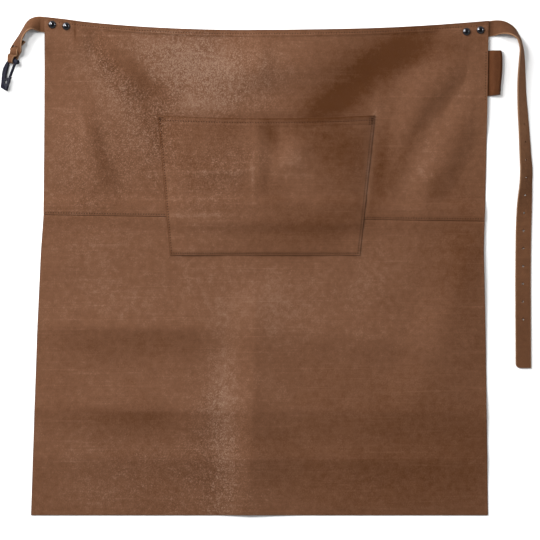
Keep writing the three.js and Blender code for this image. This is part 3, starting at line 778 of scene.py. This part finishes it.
lower_length = HEM_DROP - SEAM_DROP + SEAM_LAP
lower_columns = shares([0, 0.8, 2, 4], COLUMN_STEP, WAIST_WIDTH) / WAIST_WIDTH
lower_rows = np.concatenate([
    np.linspace(0, SEAM_LAP, 5), SEAM_LAP + np.array([0.4, 0.9, 1.5, 2.4]),
    np.linspace(SEAM_LAP + 4, lower_length - 3, 130), [lower_length - 0.8, lower_length],
])
lower_grid = np.meshgrid(lower_columns, lower_rows)
lower = leather_piece("lower_panel_leather", *lower_panel(*lower_grid), PANEL_FINISHES)
paint(lower)

# %% [markdown]
# ## Patch pocket
#
# The pocket is sewn down on three sides, so its skived edge sits on the panels and steps over the seam,
# and its face swells between the stitches. The hem at the mouth is doubled. Three small folds of its own
# give it the dent by the middle crease and the bump to the right of it.

# %% Pocket's shape
POCKET_DIP = 4.5
POCKET_HEM = 12
POCKET_BULGE = 9.6
POCKET_SQUARENESS = 4
SEAM_CLEAR = 5
POCKET_STITCH = 3.0
POCKET_HEM_STITCH = 6.2
POCKET_WIDTH = 285.3
POCKET_FOLDS = [
    (-2, -112, -1, -204, 2.5, 18, 26, 1.4),
    (43, -185, 52, -145, 3, 30, 26, 2),
    (-91, -185, -10, -186, 1.6, 16, 14, 1.4),
]
STEP_TOP = -SEAM_DROP + SEAM_LAP + LAP_RAMP + SEAM_CLEAR
STEP_BOTTOM = -SEAM_DROP - SEAM_CLEAR - LAP_RAMP


def pocket(across, level):
    down = (POCKET_TOP - level) / POCKET_HEIGHT
    arch = 1 - (2 * across - 1) ** 2
    left, right = pocket_sides(down)
    x = left + (right - left) * across
    y = level - POCKET_DIP * arch * (1 - down) ** 3
    swell = 1 - np.abs(2 * across - 1) ** POCKET_SQUARENESS
    bulge = POCKET_BULGE * swell * (1 - down ** 3)
    folds = all_folds(POCKET_FOLDS, x, y) * arch
    rise = ease((STEP_TOP - level) / LAP_RAMP) * ease((level - STEP_BOTTOM) / LAP_RAMP)
    seat = PANEL_LEATHER + GAP + LAP_LIFT * rise
    hem = PANEL_LEATHER * ease((arch - 0.1) / 0.4) * ease((level - POCKET_TOP + POCKET_HEM) / 1.0)
    face = seat + bulge + folds + PANEL_LEATHER
    from_side = POCKET_WIDTH * np.minimum(across, 1 - across)
    sewn = furrow(from_side - POCKET_STITCH) + furrow(level - POCKET_BOTTOM - POCKET_STITCH)
    sewn = sewn + furrow(POCKET_TOP - level - POCKET_HEM_STITCH)
    band = 0.3 * ease((level - POCKET_TOP + POCKET_HEM) / 1.5)
    band = band - SKIVED * (1 - ease(np.minimum(from_side, level - POCKET_BOTTOM) / SKIVED_WIDTH))
    soft = ripple(x + 40, y - 25) * ease(arch / 0.3) * ease((POCKET_TOP - level) / 20)
    over = face + sewn + band + soft
    return np.stack([x, y, over], -1), np.stack([x, y, face - PANEL_LEATHER - hem], -1)


def from_pocket_edge(x, y):
    left, right = pocket_sides((POCKET_TOP - y) / POCKET_HEIGHT)
    mouth = POCKET_TOP - POCKET_DIP * (1 - ((2 * x - left - right) / (right - left)) ** 2)
    return np.minimum(np.abs(x - left), np.abs(mouth - y))


print("pocket folds", len(POCKET_FOLDS))

# %% Pocket's grid
POCKET_EDGES = [0, 0.8, 1.5, 2.2, 3, 3.8, 4.6, 5.6, 7]
pocket_columns = shares(POCKET_EDGES, 2.4, POCKET_WIDTH) / POCKET_WIDTH
pocket_drops = np.concatenate([
    [0, 0.8, 1.8, 3, 4.2, 5.2, 6.2, 7.2, 8.4, 9.6, 10.6, 11.4, 12.2, 13.2, 15],
    np.linspace(17, 176, 67), POCKET_HEIGHT - np.array(POCKET_EDGES)[::-1],
])
pocket_grid = np.meshgrid(pocket_columns, POCKET_TOP - pocket_drops)
pocket_piece = leather_piece("pocket_leather", *pocket(*pocket_grid), PANEL_FINISHES)
paint(pocket_piece, from_pocket_edge)

# %% [markdown]
# ## Straps as swept sections
#
# A strap is a rounded oblong section carried along a path. A grid is rolled into a tube: its columns go
# round the section, its rows along the path. The seam is merged, the ends are filled, and each face takes
# the finish of the side it lies on: grain, flesh or dressed edge.

# %% Strap helpers
CORNER_TURNS = np.radians([90, 60, 30, 0])
FACE_SHARES = np.linspace(-1, 1, 8)[1:-1]


STRAP_ROUNDING = 0.4


def strap_section(thickness):
    corner = STRAP_ROUNDING * thickness
    flat = thickness / 2 - corner
    ring = []
    for side, up in ((1, 1), (1, -1), (-1, -1), (-1, 1)):
        turns = CORNER_TURNS if side == up else CORNER_TURNS[::-1]
        ring += [(side, side * corner * math.cos(t), up * (flat + corner * math.sin(t)), 2) for t in turns]
        if side == 1 and up == -1:
            ring += [(-share, 0, -thickness / 2, 1) for share in FACE_SHARES]
        if side == -1 and up == 1:
            ring += [(share, 0, thickness / 2, 0) for share in FACE_SHARES]
    return np.array(ring), corner


def through(rows, steps):
    rows = np.asarray(rows, float)
    padded = np.concatenate([[2 * rows[0] - rows[1]], rows, [2 * rows[-1] - rows[-2]]])
    places = np.linspace(0, len(rows) - 1, (len(rows) - 1) * steps + 1)
    index = np.minimum(places.astype(int), len(rows) - 2)
    t = (places - index)[:, None]
    p0, p1, p2, p3 = (padded[index + k] for k in range(4))
    return 0.5 * (2 * p1 + (p2 - p0) * t + (2 * p0 - 5 * p1 + 4 * p2 - p3) * t ** 2
                  + (3 * p1 - p0 - 3 * p2 + p3) * t ** 3)


def unit(vectors):
    return vectors / np.linalg.norm(vectors, axis=-1, keepdims=True)


def step_lengths(points):
    return np.linalg.norm(np.diff(points, axis=0), axis=1)


print("a strap section has", len(strap_section(2.4)[0]), "points")

# %% Sweep a strap
MERGE = 0.01 * MM


def swept_strap(name, point, across, width, thickness, finishes):
    ring, corner = strap_section(thickness)
    ring = np.concatenate([ring, ring[:1]])
    normal = unit(np.cross(np.gradient(point, axis=0), across))
    out = ring[:, 0] * (width[:, None] / 2 - corner) + ring[:, 1]
    points = point[:, None] + across[:, None] * out[..., None] + normal[:, None] * ring[None, :, 2, None]
    piece, row, column = flat_grid(name, len(point), len(ring))
    set_points(piece, in_frame(points[row, column]))
    for made in finishes:
        piece.data.materials.append(made)
    corners = np.empty(len(piece.data.loops), np.int32)
    piece.data.loops.foreach_get("vertex_index", corners)
    low = column[corners].reshape(-1, 4).min(1)
    kinds = np.minimum(ring[low, 3], ring[low + 1, 3])
    piece.data.polygons.foreach_set("material_index", kinds.astype(np.int32))
    edit_all()
    bpy.ops.mesh.remove_doubles(threshold=MERGE)
    bpy.ops.mesh.fill_holes(sides=0)
    bpy.ops.mesh.select_all(action="SELECT")
    bpy.ops.mesh.normals_make_consistent(inside=False)
    bpy.ops.object.mode_set(mode="OBJECT")
    return piece


print("sweep ready")

# %% [markdown]
# ## How the straps lie
#
# Each strap leaves its rivets flat, then rolls on its edge round a bend and lies down again. The tables
# hold its way on the floor and its roll, and a smooth curve runs through their rows. The strap always
# rests on its lower edge, so its height follows from the roll.

# %% Lying straps
STRAP_WIDTH = 20.5
STRAP_LEATHER = 2.4
STRAP_SEAT = 1.3
SEAT_ROWS = 2
# x, y, roll in degrees
RIGHT_STRAP = [
    (258, -4.4, 0), (280, -2.2, 0), (301.3, 1.4, 0), (315.8, 3.2, 24), (324.9, 1.4, 42), (331.5, -2, 57),
    (336.8, -7.2, 71), (340.7, -13.1, 78), (343.6, -25, 77), (344, -39.4, 69), (343.6, -65.6, 59),
    (344, -88, 55), (345.4, -111.6, 49), (347.1, -137.9, 46), (348.6, -164, 41), (349.8, -184, 37),
    (349.2, -203.5, 34), (348, -223, 20), (347.2, -243, 6), (346.5, -269, 0), (346, -315, 0),
    (346, -360, 0), (346.4, -443.8, 0),
]
LEFT_STRAP = [
    (-241.6, 2.2, 0), (-262, 4.8, 0), (-282.3, 7, 0), (-290.8, 8, 18), (-298.7, 7.2, 43),
    (-305, 2.4, 64), (-310.2, -4.6, 72), (-314.4, -12.4, 68), (-317.6, -20.2, 54), (-319.6, -27, 40),
]
UP = np.array([0.0, 0.0, 1.0])


def lying(table, inward, steps):
    way = through(table, steps)
    roll = np.radians(np.clip(way[:, 2], 0, 90))[:, None]
    flat = np.concatenate([way[:, :2], np.zeros((len(way), 1))], 1)
    place = np.linspace(0, len(table) - 1, len(way))
    seat = STRAP_SEAT * (1 - ease((place - SEAT_ROWS) / SEAT_ROWS))
    rest = (STRAP_WIDTH * np.sin(roll[:, 0]) + STRAP_LEATHER * np.cos(roll[:, 0])) / 2
    flat[:, 2] = np.maximum(rest, seat + STRAP_LEATHER / 2)
    level = flat * (1, 1, 0)
    across = np.cross(unit(np.gradient(level, axis=0)), UP) * inward * np.cos(roll) + UP * np.sin(roll)
    return flat, across


right_way, right_across = lying(RIGHT_STRAP, 1, 10)
right_length = step_lengths(right_way).sum()
print("right strap", round(right_length), "mm long")

# %% [markdown]
# ## Right strap: one rounded corner and twelve holes
#
# Near the tip the sections lose width on one side along a quarter circle, which rounds that corner. The
# holes are real: twelve cylinders stand across the strap and a Boolean modifier takes them away.

# %% Right strap
TIP_RADIUS = 6
HOLE_RADIUS = 1.3
HOLE_PITCH = 23.3
HOLE_LAST = 64
HOLES = 12
TIP_SECTIONS = [5, 4, 3, 2.1, 1.3, 0.7, 0.3, 0]
HOLE_ROUND = 0.2

to_tip = right_length - np.concatenate([[0], np.cumsum(step_lengths(right_way))])


def from_tip(distance):
    return np.stack([np.interp(distance, to_tip[::-1], right_way[::-1, k]) for k in range(3)], -1)


tail = to_tip > TIP_RADIUS
tip_point = from_tip(TIP_SECTIONS)
tip_across = np.tile(right_across[-1], (len(TIP_SECTIONS), 1))
lost = TIP_RADIUS - np.sqrt(TIP_RADIUS ** 2 - (TIP_RADIUS - np.array(TIP_SECTIONS)) ** 2)
strap_point = np.concatenate([right_way[tail], tip_point - tip_across * lost[:, None] / 2])
strap_across = np.concatenate([right_across[tail], tip_across])
strap_width = np.concatenate([np.full(tail.sum(), STRAP_WIDTH), STRAP_WIDTH - lost])
right_strap = swept_strap(
    "right_strap_leather", strap_point, strap_across, strap_width, STRAP_LEATHER, TURNED_FINISHES
)
print("tip sections", len(TIP_SECTIONS), "faces", len(right_strap.data.polygons))

# %% Punched holes
def cut_away(piece, cutters):
    start_fresh()
    for cutter in cutters:
        cutter.select_set(True)
    bpy.context.view_layer.objects.active = cutters[0]
    if len(cutters) > 1:
        bpy.ops.object.join()
    cutter = bpy.context.object
    pick(piece)
    punch = piece.modifiers.new("punch", "BOOLEAN")
    punch.operation = "DIFFERENCE"
    punch.object = cutter
    bpy.ops.object.modifier_apply(modifier=punch.name)
    bpy.data.objects.remove(cutter)


def upright(point, out):
    turn = Vector((0, 0, 1)).rotation_difference(Vector(out))
    return {"location": Vector(in_frame(point)), "rotation": turn.to_euler()}


punches = []
for number in range(HOLES):
    ahead = HOLE_LAST + number * HOLE_PITCH
    spot = from_tip(ahead)
    near = int(np.argmin(np.abs(to_tip - ahead)))
    out = np.cross(np.gradient(right_way, axis=0)[near], right_across[near])
    start_fresh()
    bpy.ops.mesh.primitive_cylinder_add(
        vertices=16, radius=HOLE_RADIUS * MM, depth=3 * STRAP_LEATHER * MM, **upright(spot, out)
    )
    punches.append(bpy.context.object)
cut_away(right_strap, punches)
round_sharp_edges(right_strap, HOLE_ROUND)
paint(right_strap)
print("right strap with holes", len(right_strap.data.polygons), "faces")

# %% [markdown]
# ## Left strap: a loop through its own slot
#
# The short strap narrows, goes round the hook's bow, comes back over itself and dives through a slot near
# its end. The run and loop are one sweep, the tongue another that starts at the loop's last section. The
# slot is cut in the run before the tongue passes it.

# %% Hook's own directions
HOOK_PLACE = np.array([-323.3, -36.8, 6.5])
HOOK_TILT = math.radians(30)
hook_ahead = unit(np.array([-0.264, -0.965, 0.0]))
hook_side = -np.cross(hook_ahead, UP) * math.cos(HOOK_TILT) + UP * math.sin(HOOK_TILT)
hook_out = np.cross(hook_ahead, hook_side)


def hook_point(along, side, out):
    return HOOK_PLACE + hook_ahead * along + hook_side * side + hook_out * out


print("hook leans", round(math.degrees(math.asin(hook_side[2]))), "degrees")

# %% Left strap's sections
# along the hook, to its side, out of its plane, width
STRAP_LOOP = [
    (-4.5, 0.8, -2.6, 12), (-1, 1, -3.6, 9.4), (2.2, 0.6, -3.9, 7.6), (5.5, -0.4, -3.2, 6.8),
    (6.7, -0.6, 0, 6.6), (5.5, -0.8, 3.2, 7.4), (2.2, -1.1, 3.9, 8.6), (-2, -1.3, 3.4, 10.4),
]
# back along the strap, over it, to its side, width
TONGUE = [
    (8, 3.1, -0.9, 12.4), (11, 2.9, -0.7, 12.8), (14, 1.6, -1, 11),
    (17.5, -1.2, -1.2, 9), (21, -3.2, 0.8, 8.6), (29, -6, 3, 9.4),
]
SLOT_BACK = 16
SLOT_SIDE = -2
SLOT = (11.4, 5, 6.5)
SLOT_ROUND = 0.25

run_point, run_across = lying(LEFT_STRAP, -1, 2)
loop_point = np.array([hook_point(*row[:3]) for row in STRAP_LOOP])
share = np.array([[1 / 3], [2 / 3]])
bridge_point = run_point[-1] + (loop_point[0] - run_point[-1]) * share
bridge_across = unit(run_across[-1] + (hook_side - run_across[-1]) * share)
trail_point = np.concatenate([run_point, bridge_point, loop_point[:3]])[::-1]
trail_across = np.concatenate([run_across, bridge_across, np.tile(hook_side, (3, 1))])[::-1]
trail_back = np.concatenate([[0], np.cumsum(step_lengths(trail_point))])


def trail_at(back):
    index = int(np.clip(np.searchsorted(trail_back, back) - 1, 0, len(trail_back) - 2))
    step = trail_point[index + 1] - trail_point[index]
    share = (back - trail_back[index]) / np.linalg.norm(step)
    across = unit(trail_across[index] + (trail_across[index + 1] - trail_across[index]) * share)
    return trail_point[index] + step * share, across, unit(np.cross(across, unit(step)))


tongue_point, tongue_across = [], []
for back, over, side, _ in TONGUE:
    place, across, out = trail_at(back)
    tongue_point.append(place + out * over + across * side)
    tongue_across.append(across)
print("strap goes round the bow in", len(STRAP_LOOP), "sections")

# %% Left strap
LEFT_STEPS = 4
run_width = np.concatenate([
    np.full(len(run_point), STRAP_WIDTH), STRAP_WIDTH + (STRAP_LOOP[0][3] - STRAP_WIDTH) * share[:, 0],
    [row[3] for row in STRAP_LOOP], [row[3] for row in TONGUE],
])
left_rows = np.concatenate([
    np.concatenate([run_point, bridge_point, loop_point, tongue_point]),
    np.concatenate([run_across, bridge_across, np.tile(hook_side, (len(STRAP_LOOP), 1)), tongue_across]),
    run_width[:, None],
], 1)
left_fine = through(left_rows, LEFT_STEPS)
left_across = unit(left_fine[:, 3:6])
split = (len(left_rows) - len(TONGUE) - 1) * LEFT_STEPS
left_pieces = []
for name, part in (("left_strap_leather", slice(0, split + 1)), ("left_strap_tongue", slice(split, None))):
    left_pieces.append(swept_strap(
        name, left_fine[part, :3], left_across[part], left_fine[part, 6], STRAP_LEATHER, STRAP_FINISHES
    ))
left_strap, tongue = left_pieces
print("left strap sections", len(left_fine))

# %% Slot in the left strap
place, across, out = trail_at(SLOT_BACK)
start_fresh()
bpy.ops.mesh.primitive_cube_add(size=MM)
slot_box = bpy.context.object
basis = Matrix(np.stack([across, out, np.cross(across, out)], 1).tolist()).to_4x4()
slot_box.data.transform(Matrix.Diagonal((*SLOT, 1)))
slot_box.data.transform(Matrix.Translation(Vector(in_frame(place + across * SLOT_SIDE))) @ basis)
cut_away(left_strap, [slot_box])
for piece in left_pieces:
    round_sharp_edges(piece, SLOT_ROUND)
    paint(piece)

# %% [markdown]
# ## Towel loop
#
# A strip of leather is folded in two and sewn under the right edge. Seen from above it is a small dark
# flap, and from the end an open eye. It is swept like a strap, with its path in the upright plane, and then
# the fold is drawn in a little towards its lower end and at its upper corner.

# %% Towel loop
LOOP_TOP = -27
LOOP_BOTTOM = -88
LOOP_FOLD_X = 319
LOOP_NECK_X = 301.5
LOOP_RISE = 5
LOOP_LEATHER = 1.5
LOOP_GAPE = 5.6
LOOP_SLANT = 3
LOOP_TAPER = 2.8
LOOP_CORNER = 1.4
LOOP_CORNER_DROP = 5
LOOP_ROUND = 0.2

low = LOOP_LEATHER / 2
high = low + LOOP_LEATHER + GAP
bend = (LOOP_GAPE + LOOP_LEATHER) / 2
fold_x = LOOP_FOLD_X - LOOP_LEATHER / 2 - bend
hidden_x = LOOP_NECK_X + GAP - LOOP_HIDDEN
turns = np.radians(np.linspace(-60, 90, 6))
loop_way = np.array(
    [(hidden_x, low), (LOOP_NECK_X, low), (fold_x, low)]
    + [(fold_x + bend * math.cos(t), low + bend + bend * math.sin(t)) for t in turns]
    + [(LOOP_NECK_X + LOOP_RISE, high + LOOP_RISE), (LOOP_NECK_X, high), (hidden_x, high)]
)
loop_fine = through(loop_way, 6)
narrowing = LOOP_SLANT * (loop_fine[:, 0] - hidden_x) / (LOOP_FOLD_X - hidden_x)
centre_y = (LOOP_TOP + LOOP_BOTTOM + narrowing) / 2
towel_point = np.stack([loop_fine[:, 0], centre_y, loop_fine[:, 1]], -1)
towel_across = np.tile((0.0, 1.0, 0.0), (len(loop_fine), 1))
towel_width = LOOP_TOP - LOOP_BOTTOM - narrowing
towel_loop = swept_strap(
    "towel_loop_leather", towel_point, towel_across, towel_width, LOOP_LEATHER, LOOP_FINISHES
)
towel_length = step_lengths(towel_point).sum()
print("towel loop strip", round(towel_length), "mm long")

# %% Towel loop's fold drawn in
drawn = get_points(towel_loop) / MM - SHIFT
outward = ease((drawn[:, 0] - LOOP_NECK_X) / (LOOP_FOLD_X - LOOP_NECK_X))
drawn_in = LOOP_TAPER * ease((LOOP_TOP - drawn[:, 1]) / (LOOP_TOP - LOOP_BOTTOM) * 1.4 - 0.4)
drawn_in += LOOP_CORNER * np.clip(1 + (drawn[:, 1] - LOOP_TOP) / LOOP_CORNER_DROP, 0, 1) ** 2
drawn[:, 0] -= outward * drawn_in
set_points(towel_loop, in_frame(drawn))
round_sharp_edges(towel_loop, LOOP_ROUND)
print("drawn in by up to", drawn_in.max().round(2), "mm")

# %% [markdown]
# ## Rivets
#
# A cap is a sphere cut in half with Bisect and pressed flatter. Its base is extruded for a thin rim, inset
# and extruded again for the post, and once more for the disc behind the strap. One rivet is modelled and
# then copied to the four places, each copy with a mesh of its own.

# %% One rivet
RIVET_CAP = 5.1
RIVET_DOME = 3.0
RIVET_RIM = 0.5
RIVET_POST = 1.5
RIVET_DISC = 4.2
RIVET_BACK = 1.0
RIVET_ROUND = 0.12
NECK = 0.01
CAP_FOOT = PANEL_SEAT + PANEL_LEATHER + GAP


def extrude_by(z):
    bpy.ops.mesh.extrude_region_move(TRANSFORM_OT_translate={"value": (0, 0, z * MM)})


start_fresh()
bpy.ops.mesh.primitive_uv_sphere_add(segments=32, ring_count=24, radius=RIVET_CAP * MM)
rivet = bpy.context.object
edit_all()
bpy.ops.mesh.bisect(plane_co=(0, 0, 0), plane_no=(0, 0, 1), use_fill=True, clear_inner=True)
bpy.ops.mesh.select_all(action="SELECT")
bpy.ops.transform.resize(value=(1, 1, (RIVET_DOME - RIVET_RIM) / RIVET_CAP), center_override=(0, 0, 0))
bpy.ops.mesh.select_all(action="DESELECT")
bpy.ops.object.mode_set(mode="OBJECT")
for face in rivet.data.polygons:
    face.select = face.normal.z < -0.9
bpy.ops.object.mode_set(mode="EDIT")
bpy.ops.mesh.select_mode(type="FACE")
extrude_by(-RIVET_RIM)
bpy.ops.mesh.inset(thickness=(RIVET_CAP - RIVET_POST) * MM)
extrude_by(-(CAP_FOOT - RIVET_BACK))
extrude_by(-NECK)
bpy.ops.transform.resize(value=(RIVET_DISC / RIVET_POST, RIVET_DISC / RIVET_POST, 1))
extrude_by(-RIVET_BACK)
bpy.ops.object.mode_set(mode="OBJECT")
rivet.data.materials.append(rivet_gunmetal)
print("rivet faces", len(rivet.data.polygons))

# %% Four rivets
rivet_pieces = []
for name, (x, y) in RIVETS.items():
    pick(rivet)
    bpy.ops.object.duplicate()
    copy = bpy.context.object
    copy.name = copy.data.name = name + "_cap"
    copy.location = in_frame((x, y, CAP_FOOT + RIVET_RIM))
    bpy.ops.object.transform_apply(location=True, rotation=False, scale=False)
    round_sharp_edges(copy, RIVET_ROUND)
    rivet_pieces.append(copy)
bpy.data.objects.remove(rivet)
print("rivets", [piece.name for piece in rivet_pieces])

# %% [markdown]
# ## Hook and gate
#
# The hook's solids already have the right form. A copy of each is merged, its flat triangles dissolved
# into whole faces, and its edges rounded, so that it catches light along them as cast metal does.

# %% Hook and gate
def polished_copy(node_name, name, rounding):
    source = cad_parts[node_name]
    piece = bpy.data.objects.new(name, source.data.copy())
    piece.data.name = name
    bpy.context.scene.collection.objects.link(piece)
    piece.data.materials.clear()
    piece.data.materials.append(hook_black)
    pick(piece)
    edit_all()
    bpy.ops.mesh.remove_doubles(threshold=MERGE)
    bpy.ops.mesh.dissolve_limited(angle_limit=math.radians(2))
    bpy.ops.object.mode_set(mode="OBJECT")
    round_sharp_edges(piece, rounding)
    return piece


hook = polished_copy("hook_frame", "hook_frame_black", rounding=0.25)
gate = polished_copy("hook_gate", "hook_gate_black", rounding=0.2)
print("hook faces", len(hook.data.polygons), "gate faces", len(gate.data.polygons))

# %% [markdown]
# ## Stitches
#
# A stitch is a short length of thread that rises from one needle hole and sinks into the next. One small
# sphere is stretched and bent into that shape, and its points are repeated along each seam, at the slant
# that a pricking iron gives and on the leather under it, as one joined mesh for each seam.

# %% One stitch
STITCH_LENGTH = 2.0
STITCH_WIDTH = 1.1
STITCH_HEIGHT = 0.7 * STITCH_WIDTH
STITCH_SLANT = math.radians(50)
STITCH_PITCH = 3.4
STITCH_SINK = 0.35

start_fresh()
bpy.ops.mesh.primitive_uv_sphere_add(segments=8, ring_count=6, radius=0.5)
stitch = bpy.context.object
edit_all()
bpy.ops.transform.rotate(value=math.radians(90), orient_axis="Y", center_override=(0, 0, 0))
bpy.ops.object.mode_set(mode="OBJECT")
stitch_points = get_points(stitch) * (STITCH_LENGTH, STITCH_WIDTH, STITCH_HEIGHT)
stitch_points[:, 2] -= STITCH_SINK * (2 * stitch_points[:, 0] / STITCH_LENGTH) ** 2
stitch_faces = [list(face.vertices) for face in stitch.data.polygons]
bpy.data.objects.remove(stitch)
print("one stitch has", len(stitch_faces), "faces")


# %% Sew a seam
def sew(name, centres, ahead, up, slant=STITCH_SLANT):
    side = unit(np.cross(up, ahead))
    ahead = np.cross(side, up)
    c, s = np.cos(slant), np.sin(slant)
    turned = np.stack([ahead * c + side * s, side * c - ahead * s, up], 1)
    points = centres[:, None] + stitch_points @ turned
    count = len(stitch_points)
    faces = [[index + count * k for index in face] for k in range(len(centres)) for face in stitch_faces]
    mesh = bpy.data.meshes.new(name)
    mesh.from_pydata(in_frame(points.reshape(-1, 3)).tolist(), [], faces)
    seam = bpy.data.objects.new(name, mesh)
    bpy.context.scene.collection.objects.link(seam)
    mesh.materials.append(sewing_thread)
    mesh.shade_smooth()
    print(name, len(centres), "stitches")
    return seam


def surface_frame(surface, u, v, du=0.002, dv=0.6):
    u, v = np.broadcast_arrays(u, v)
    here = surface(u, v)[0]
    along_u = surface(u + du, v)[0] - surface(u - du, v)[0]
    along_v = surface(u, v - dv)[0] - surface(u, v + dv)[0]
    return here, unit(along_u), unit(along_v), unit(np.cross(along_u, along_v))


print("sewing ready")

# %% Seams across the panels
RIVET_CLEAR = 7.5

steps = np.arange(6, WAIST_WIDTH - 6, STITCH_PITCH) / WAIST_WIDTH
hem_line = surface_frame(upper_panel, steps, HEM_STITCH)
rivet_spots = np.array(list(RIVETS.values()))
from_rivets = np.hypot(*(hem_line[0][:, None, :2] - rivet_spots).transpose(2, 0, 1))
clear = np.min(from_rivets, 1) > RIVET_CLEAR
hem_stitches = sew("waist_hem_stitches", hem_line[0][clear], hem_line[1][clear], hem_line[3][clear])

steps = np.arange(3, WAIST_WIDTH - 3, STITCH_PITCH) / WAIST_WIDTH
seam_line = surface_frame(upper_panel, steps, SEAM_DROP - SEAM_STITCH)
bare = outside_pocket(seam_line[0][:, 0], seam_line[0][:, 1]) > 1
seam_stitches = sew("seam_stitches", seam_line[0][bare], seam_line[1][bare], seam_line[3][bare])

# %% Seams round the pocket and at the towel loop
levels = np.arange(POCKET_BOTTOM + POCKET_STITCH, POCKET_TOP - 1, STITCH_PITCH)
inset = POCKET_STITCH / POCKET_WIDTH
side_lines = [surface_frame(pocket, side, levels) for side in (inset, 1 - inset)]
steps = np.arange(POCKET_STITCH, POCKET_WIDTH - POCKET_STITCH, STITCH_PITCH) / POCKET_WIDTH
bottom_line = surface_frame(pocket, steps, POCKET_BOTTOM + POCKET_STITCH)
mouth_line = surface_frame(pocket, steps, POCKET_TOP - POCKET_HEM_STITCH)
pocket_lines = [(here, v, up) for here, _, v, up in side_lines]
pocket_lines += [(here, u, up) for here, u, _, up in (bottom_line, mouth_line)]
pocket_stitches = sew("pocket_stitches", *(np.concatenate(part) for part in zip(*pocket_lines)))

LOOP_STITCH = 3.0
LOOP_STITCH_SHIFT = 12
drops = np.arange(-LOOP_TOP + LOOP_STITCH_SHIFT, -LOOP_BOTTOM + LOOP_STITCH_SHIFT, STITCH_PITCH)
loop_line = surface_frame(upper_panel, 1 - LOOP_STITCH / WAIST_WIDTH, drops, du=0.001)
loop_stitches = sew("towel_loop_stitches", loop_line[0], loop_line[2], loop_line[3])

# %% [markdown]
# ## Bar tacks
#
# The upper corners of the pocket are sewn over and over so that they don't tear. The right one is a dense
# zigzag box, the left one a small triangle.

# %% Bar tacks
# inward from the side edge, down from the mouth, turn of the stitch in degrees
RIGHT_TACK = [(1.8 + 2.3 * k, 2 + 2.4 * row, 60 if row % 2 else -60) for row in range(5) for k in range(3)]
LEFT_TACK = [(2.2 + 2 * k, 3 + 2.4 * row, -40) for row in range(3) for k in range(3 - row)]


def tack(name, rows, right):
    inward, drop, turn = np.array(rows, float).T
    share = inward / POCKET_WIDTH
    across = 1 - share if right else share
    here, ahead, _, up = surface_frame(pocket, across, POCKET_TOP - drop)
    return sew(name, here, ahead, up, np.radians(turn)[:, None])


right_tack = tack("right_bar_tack", RIGHT_TACK, True)
left_tack = tack("left_bar_tack", LEFT_TACK, False)

# %% [markdown]
# ## Floor and light
#
# A plain pale floor takes soft shadows. The main light is a very wide panel beyond the upper left corner.
# It stands low, so its light grazes the leather, models the folds and falls off towards the lower right.
# Two small lights give the rivets their highlights. The sky fills the shadows. It is dim straight above,
# where a flat piece of leather would mirror it into the camera as a grey haze.

# %% Floor
def floor_finish(name):
    made, tree, shader, place = finish(name)
    tint = ramp(tree, noise(tree, place, 3, 2), [(0.67, 0.67, 0.67), (0.68, 0.68, 0.68)])
    fill(tree, shader, {"Base Color": tint, "Roughness": 0.9, "Specular IOR Level": 0.1})
    return made


start_fresh()
bpy.ops.mesh.primitive_plane_add(size=12)
floor = bpy.context.object
floor.name = "floor"
floor.data.materials.append(floor_finish("floor_white"))
print("floor", floor.dimensions[:2])


# %% Lights
def light_panel(name, place, size, power):
    start_fresh()
    bpy.ops.object.light_add(type="AREA", location=place)
    panel = bpy.context.object
    panel.name = name
    panel.data.shape = "RECTANGLE"
    panel.data.size, panel.data.size_y = size
    panel.data.energy = power
    panel.rotation_euler = (-Vector(place)).to_track_quat("-Z", "Y").to_euler()
    return panel


key_light = light_panel("key_light", place=(-2.1, 1.6, 1.6), size=(2.3, 2.3), power=236)
glint_light = light_panel("glint_light", place=(-0.75, 0.85, 1.95), size=(0.34, 0.34), power=30)
side_light = light_panel("side_light", place=(1.5, 0.6, 1.7), size=(0.24, 0.26), power=16)
print("lights", [light.data.energy for light in (key_light, glint_light, side_light)])

# %% Sky
SKY = 0.74
SKY_ABOVE = 0.13
SKY_FADE = (0.6, 0.96)
world = bpy.data.worlds.new("studio")
world.use_nodes = True
sky = world.node_tree
toward = node(sky, "ShaderNodeTexCoord").outputs["Generated"]
height = node(sky, "ShaderNodeSeparateXYZ", {"Vector": toward}).outputs["Z"]
glow = map_range(sky, height, SKY_FADE, (SKY, SKY_ABOVE), "SMOOTHSTEP")
fill(sky, sky.nodes["Background"], {"Color": (1, 1, 1, 1), "Strength": glow})
bpy.context.scene.world = world
bpy.context.scene.view_settings.view_transform = "Standard"
print("sky", SKY, "and straight above", SKY_ABOVE)

# %% [markdown]
# ## What each piece stands for
#
# Every new piece rides on a body of the imported model and replaces the plain solid that it dresses.

# %% Bodies and replaced solids
BODY = "apron"
DRESSED = {
    "upper_panel": (upper, "body_leather"), "lower_panel": (lower, "body_leather"),
    "pocket": (pocket_piece, "body_leather"), "towel_loop": (towel_loop, "body_leather"),
    "right_strap": (right_strap, "strap_leather"), "left_strap": (left_strap, "strap_leather"),
    "hook_frame": (hook, "hook_metal"),
}
DRESSED.update({name: (piece, "rivet_metal") for name, piece in zip(RIVETS, rivet_pieces)})
for node_name, (piece, slot) in DRESSED.items():
    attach(piece, BODY)
    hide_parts(node_name)
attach(gate, "gate")
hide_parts("hook_gate")
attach(tongue, BODY)
for seam in (hem_stitches, seam_stitches, pocket_stitches, loop_stitches, right_tack, left_tack):
    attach(seam, BODY)
print(len(DRESSED) + 1, "solids dressed")

# %% Done
print("scene built")
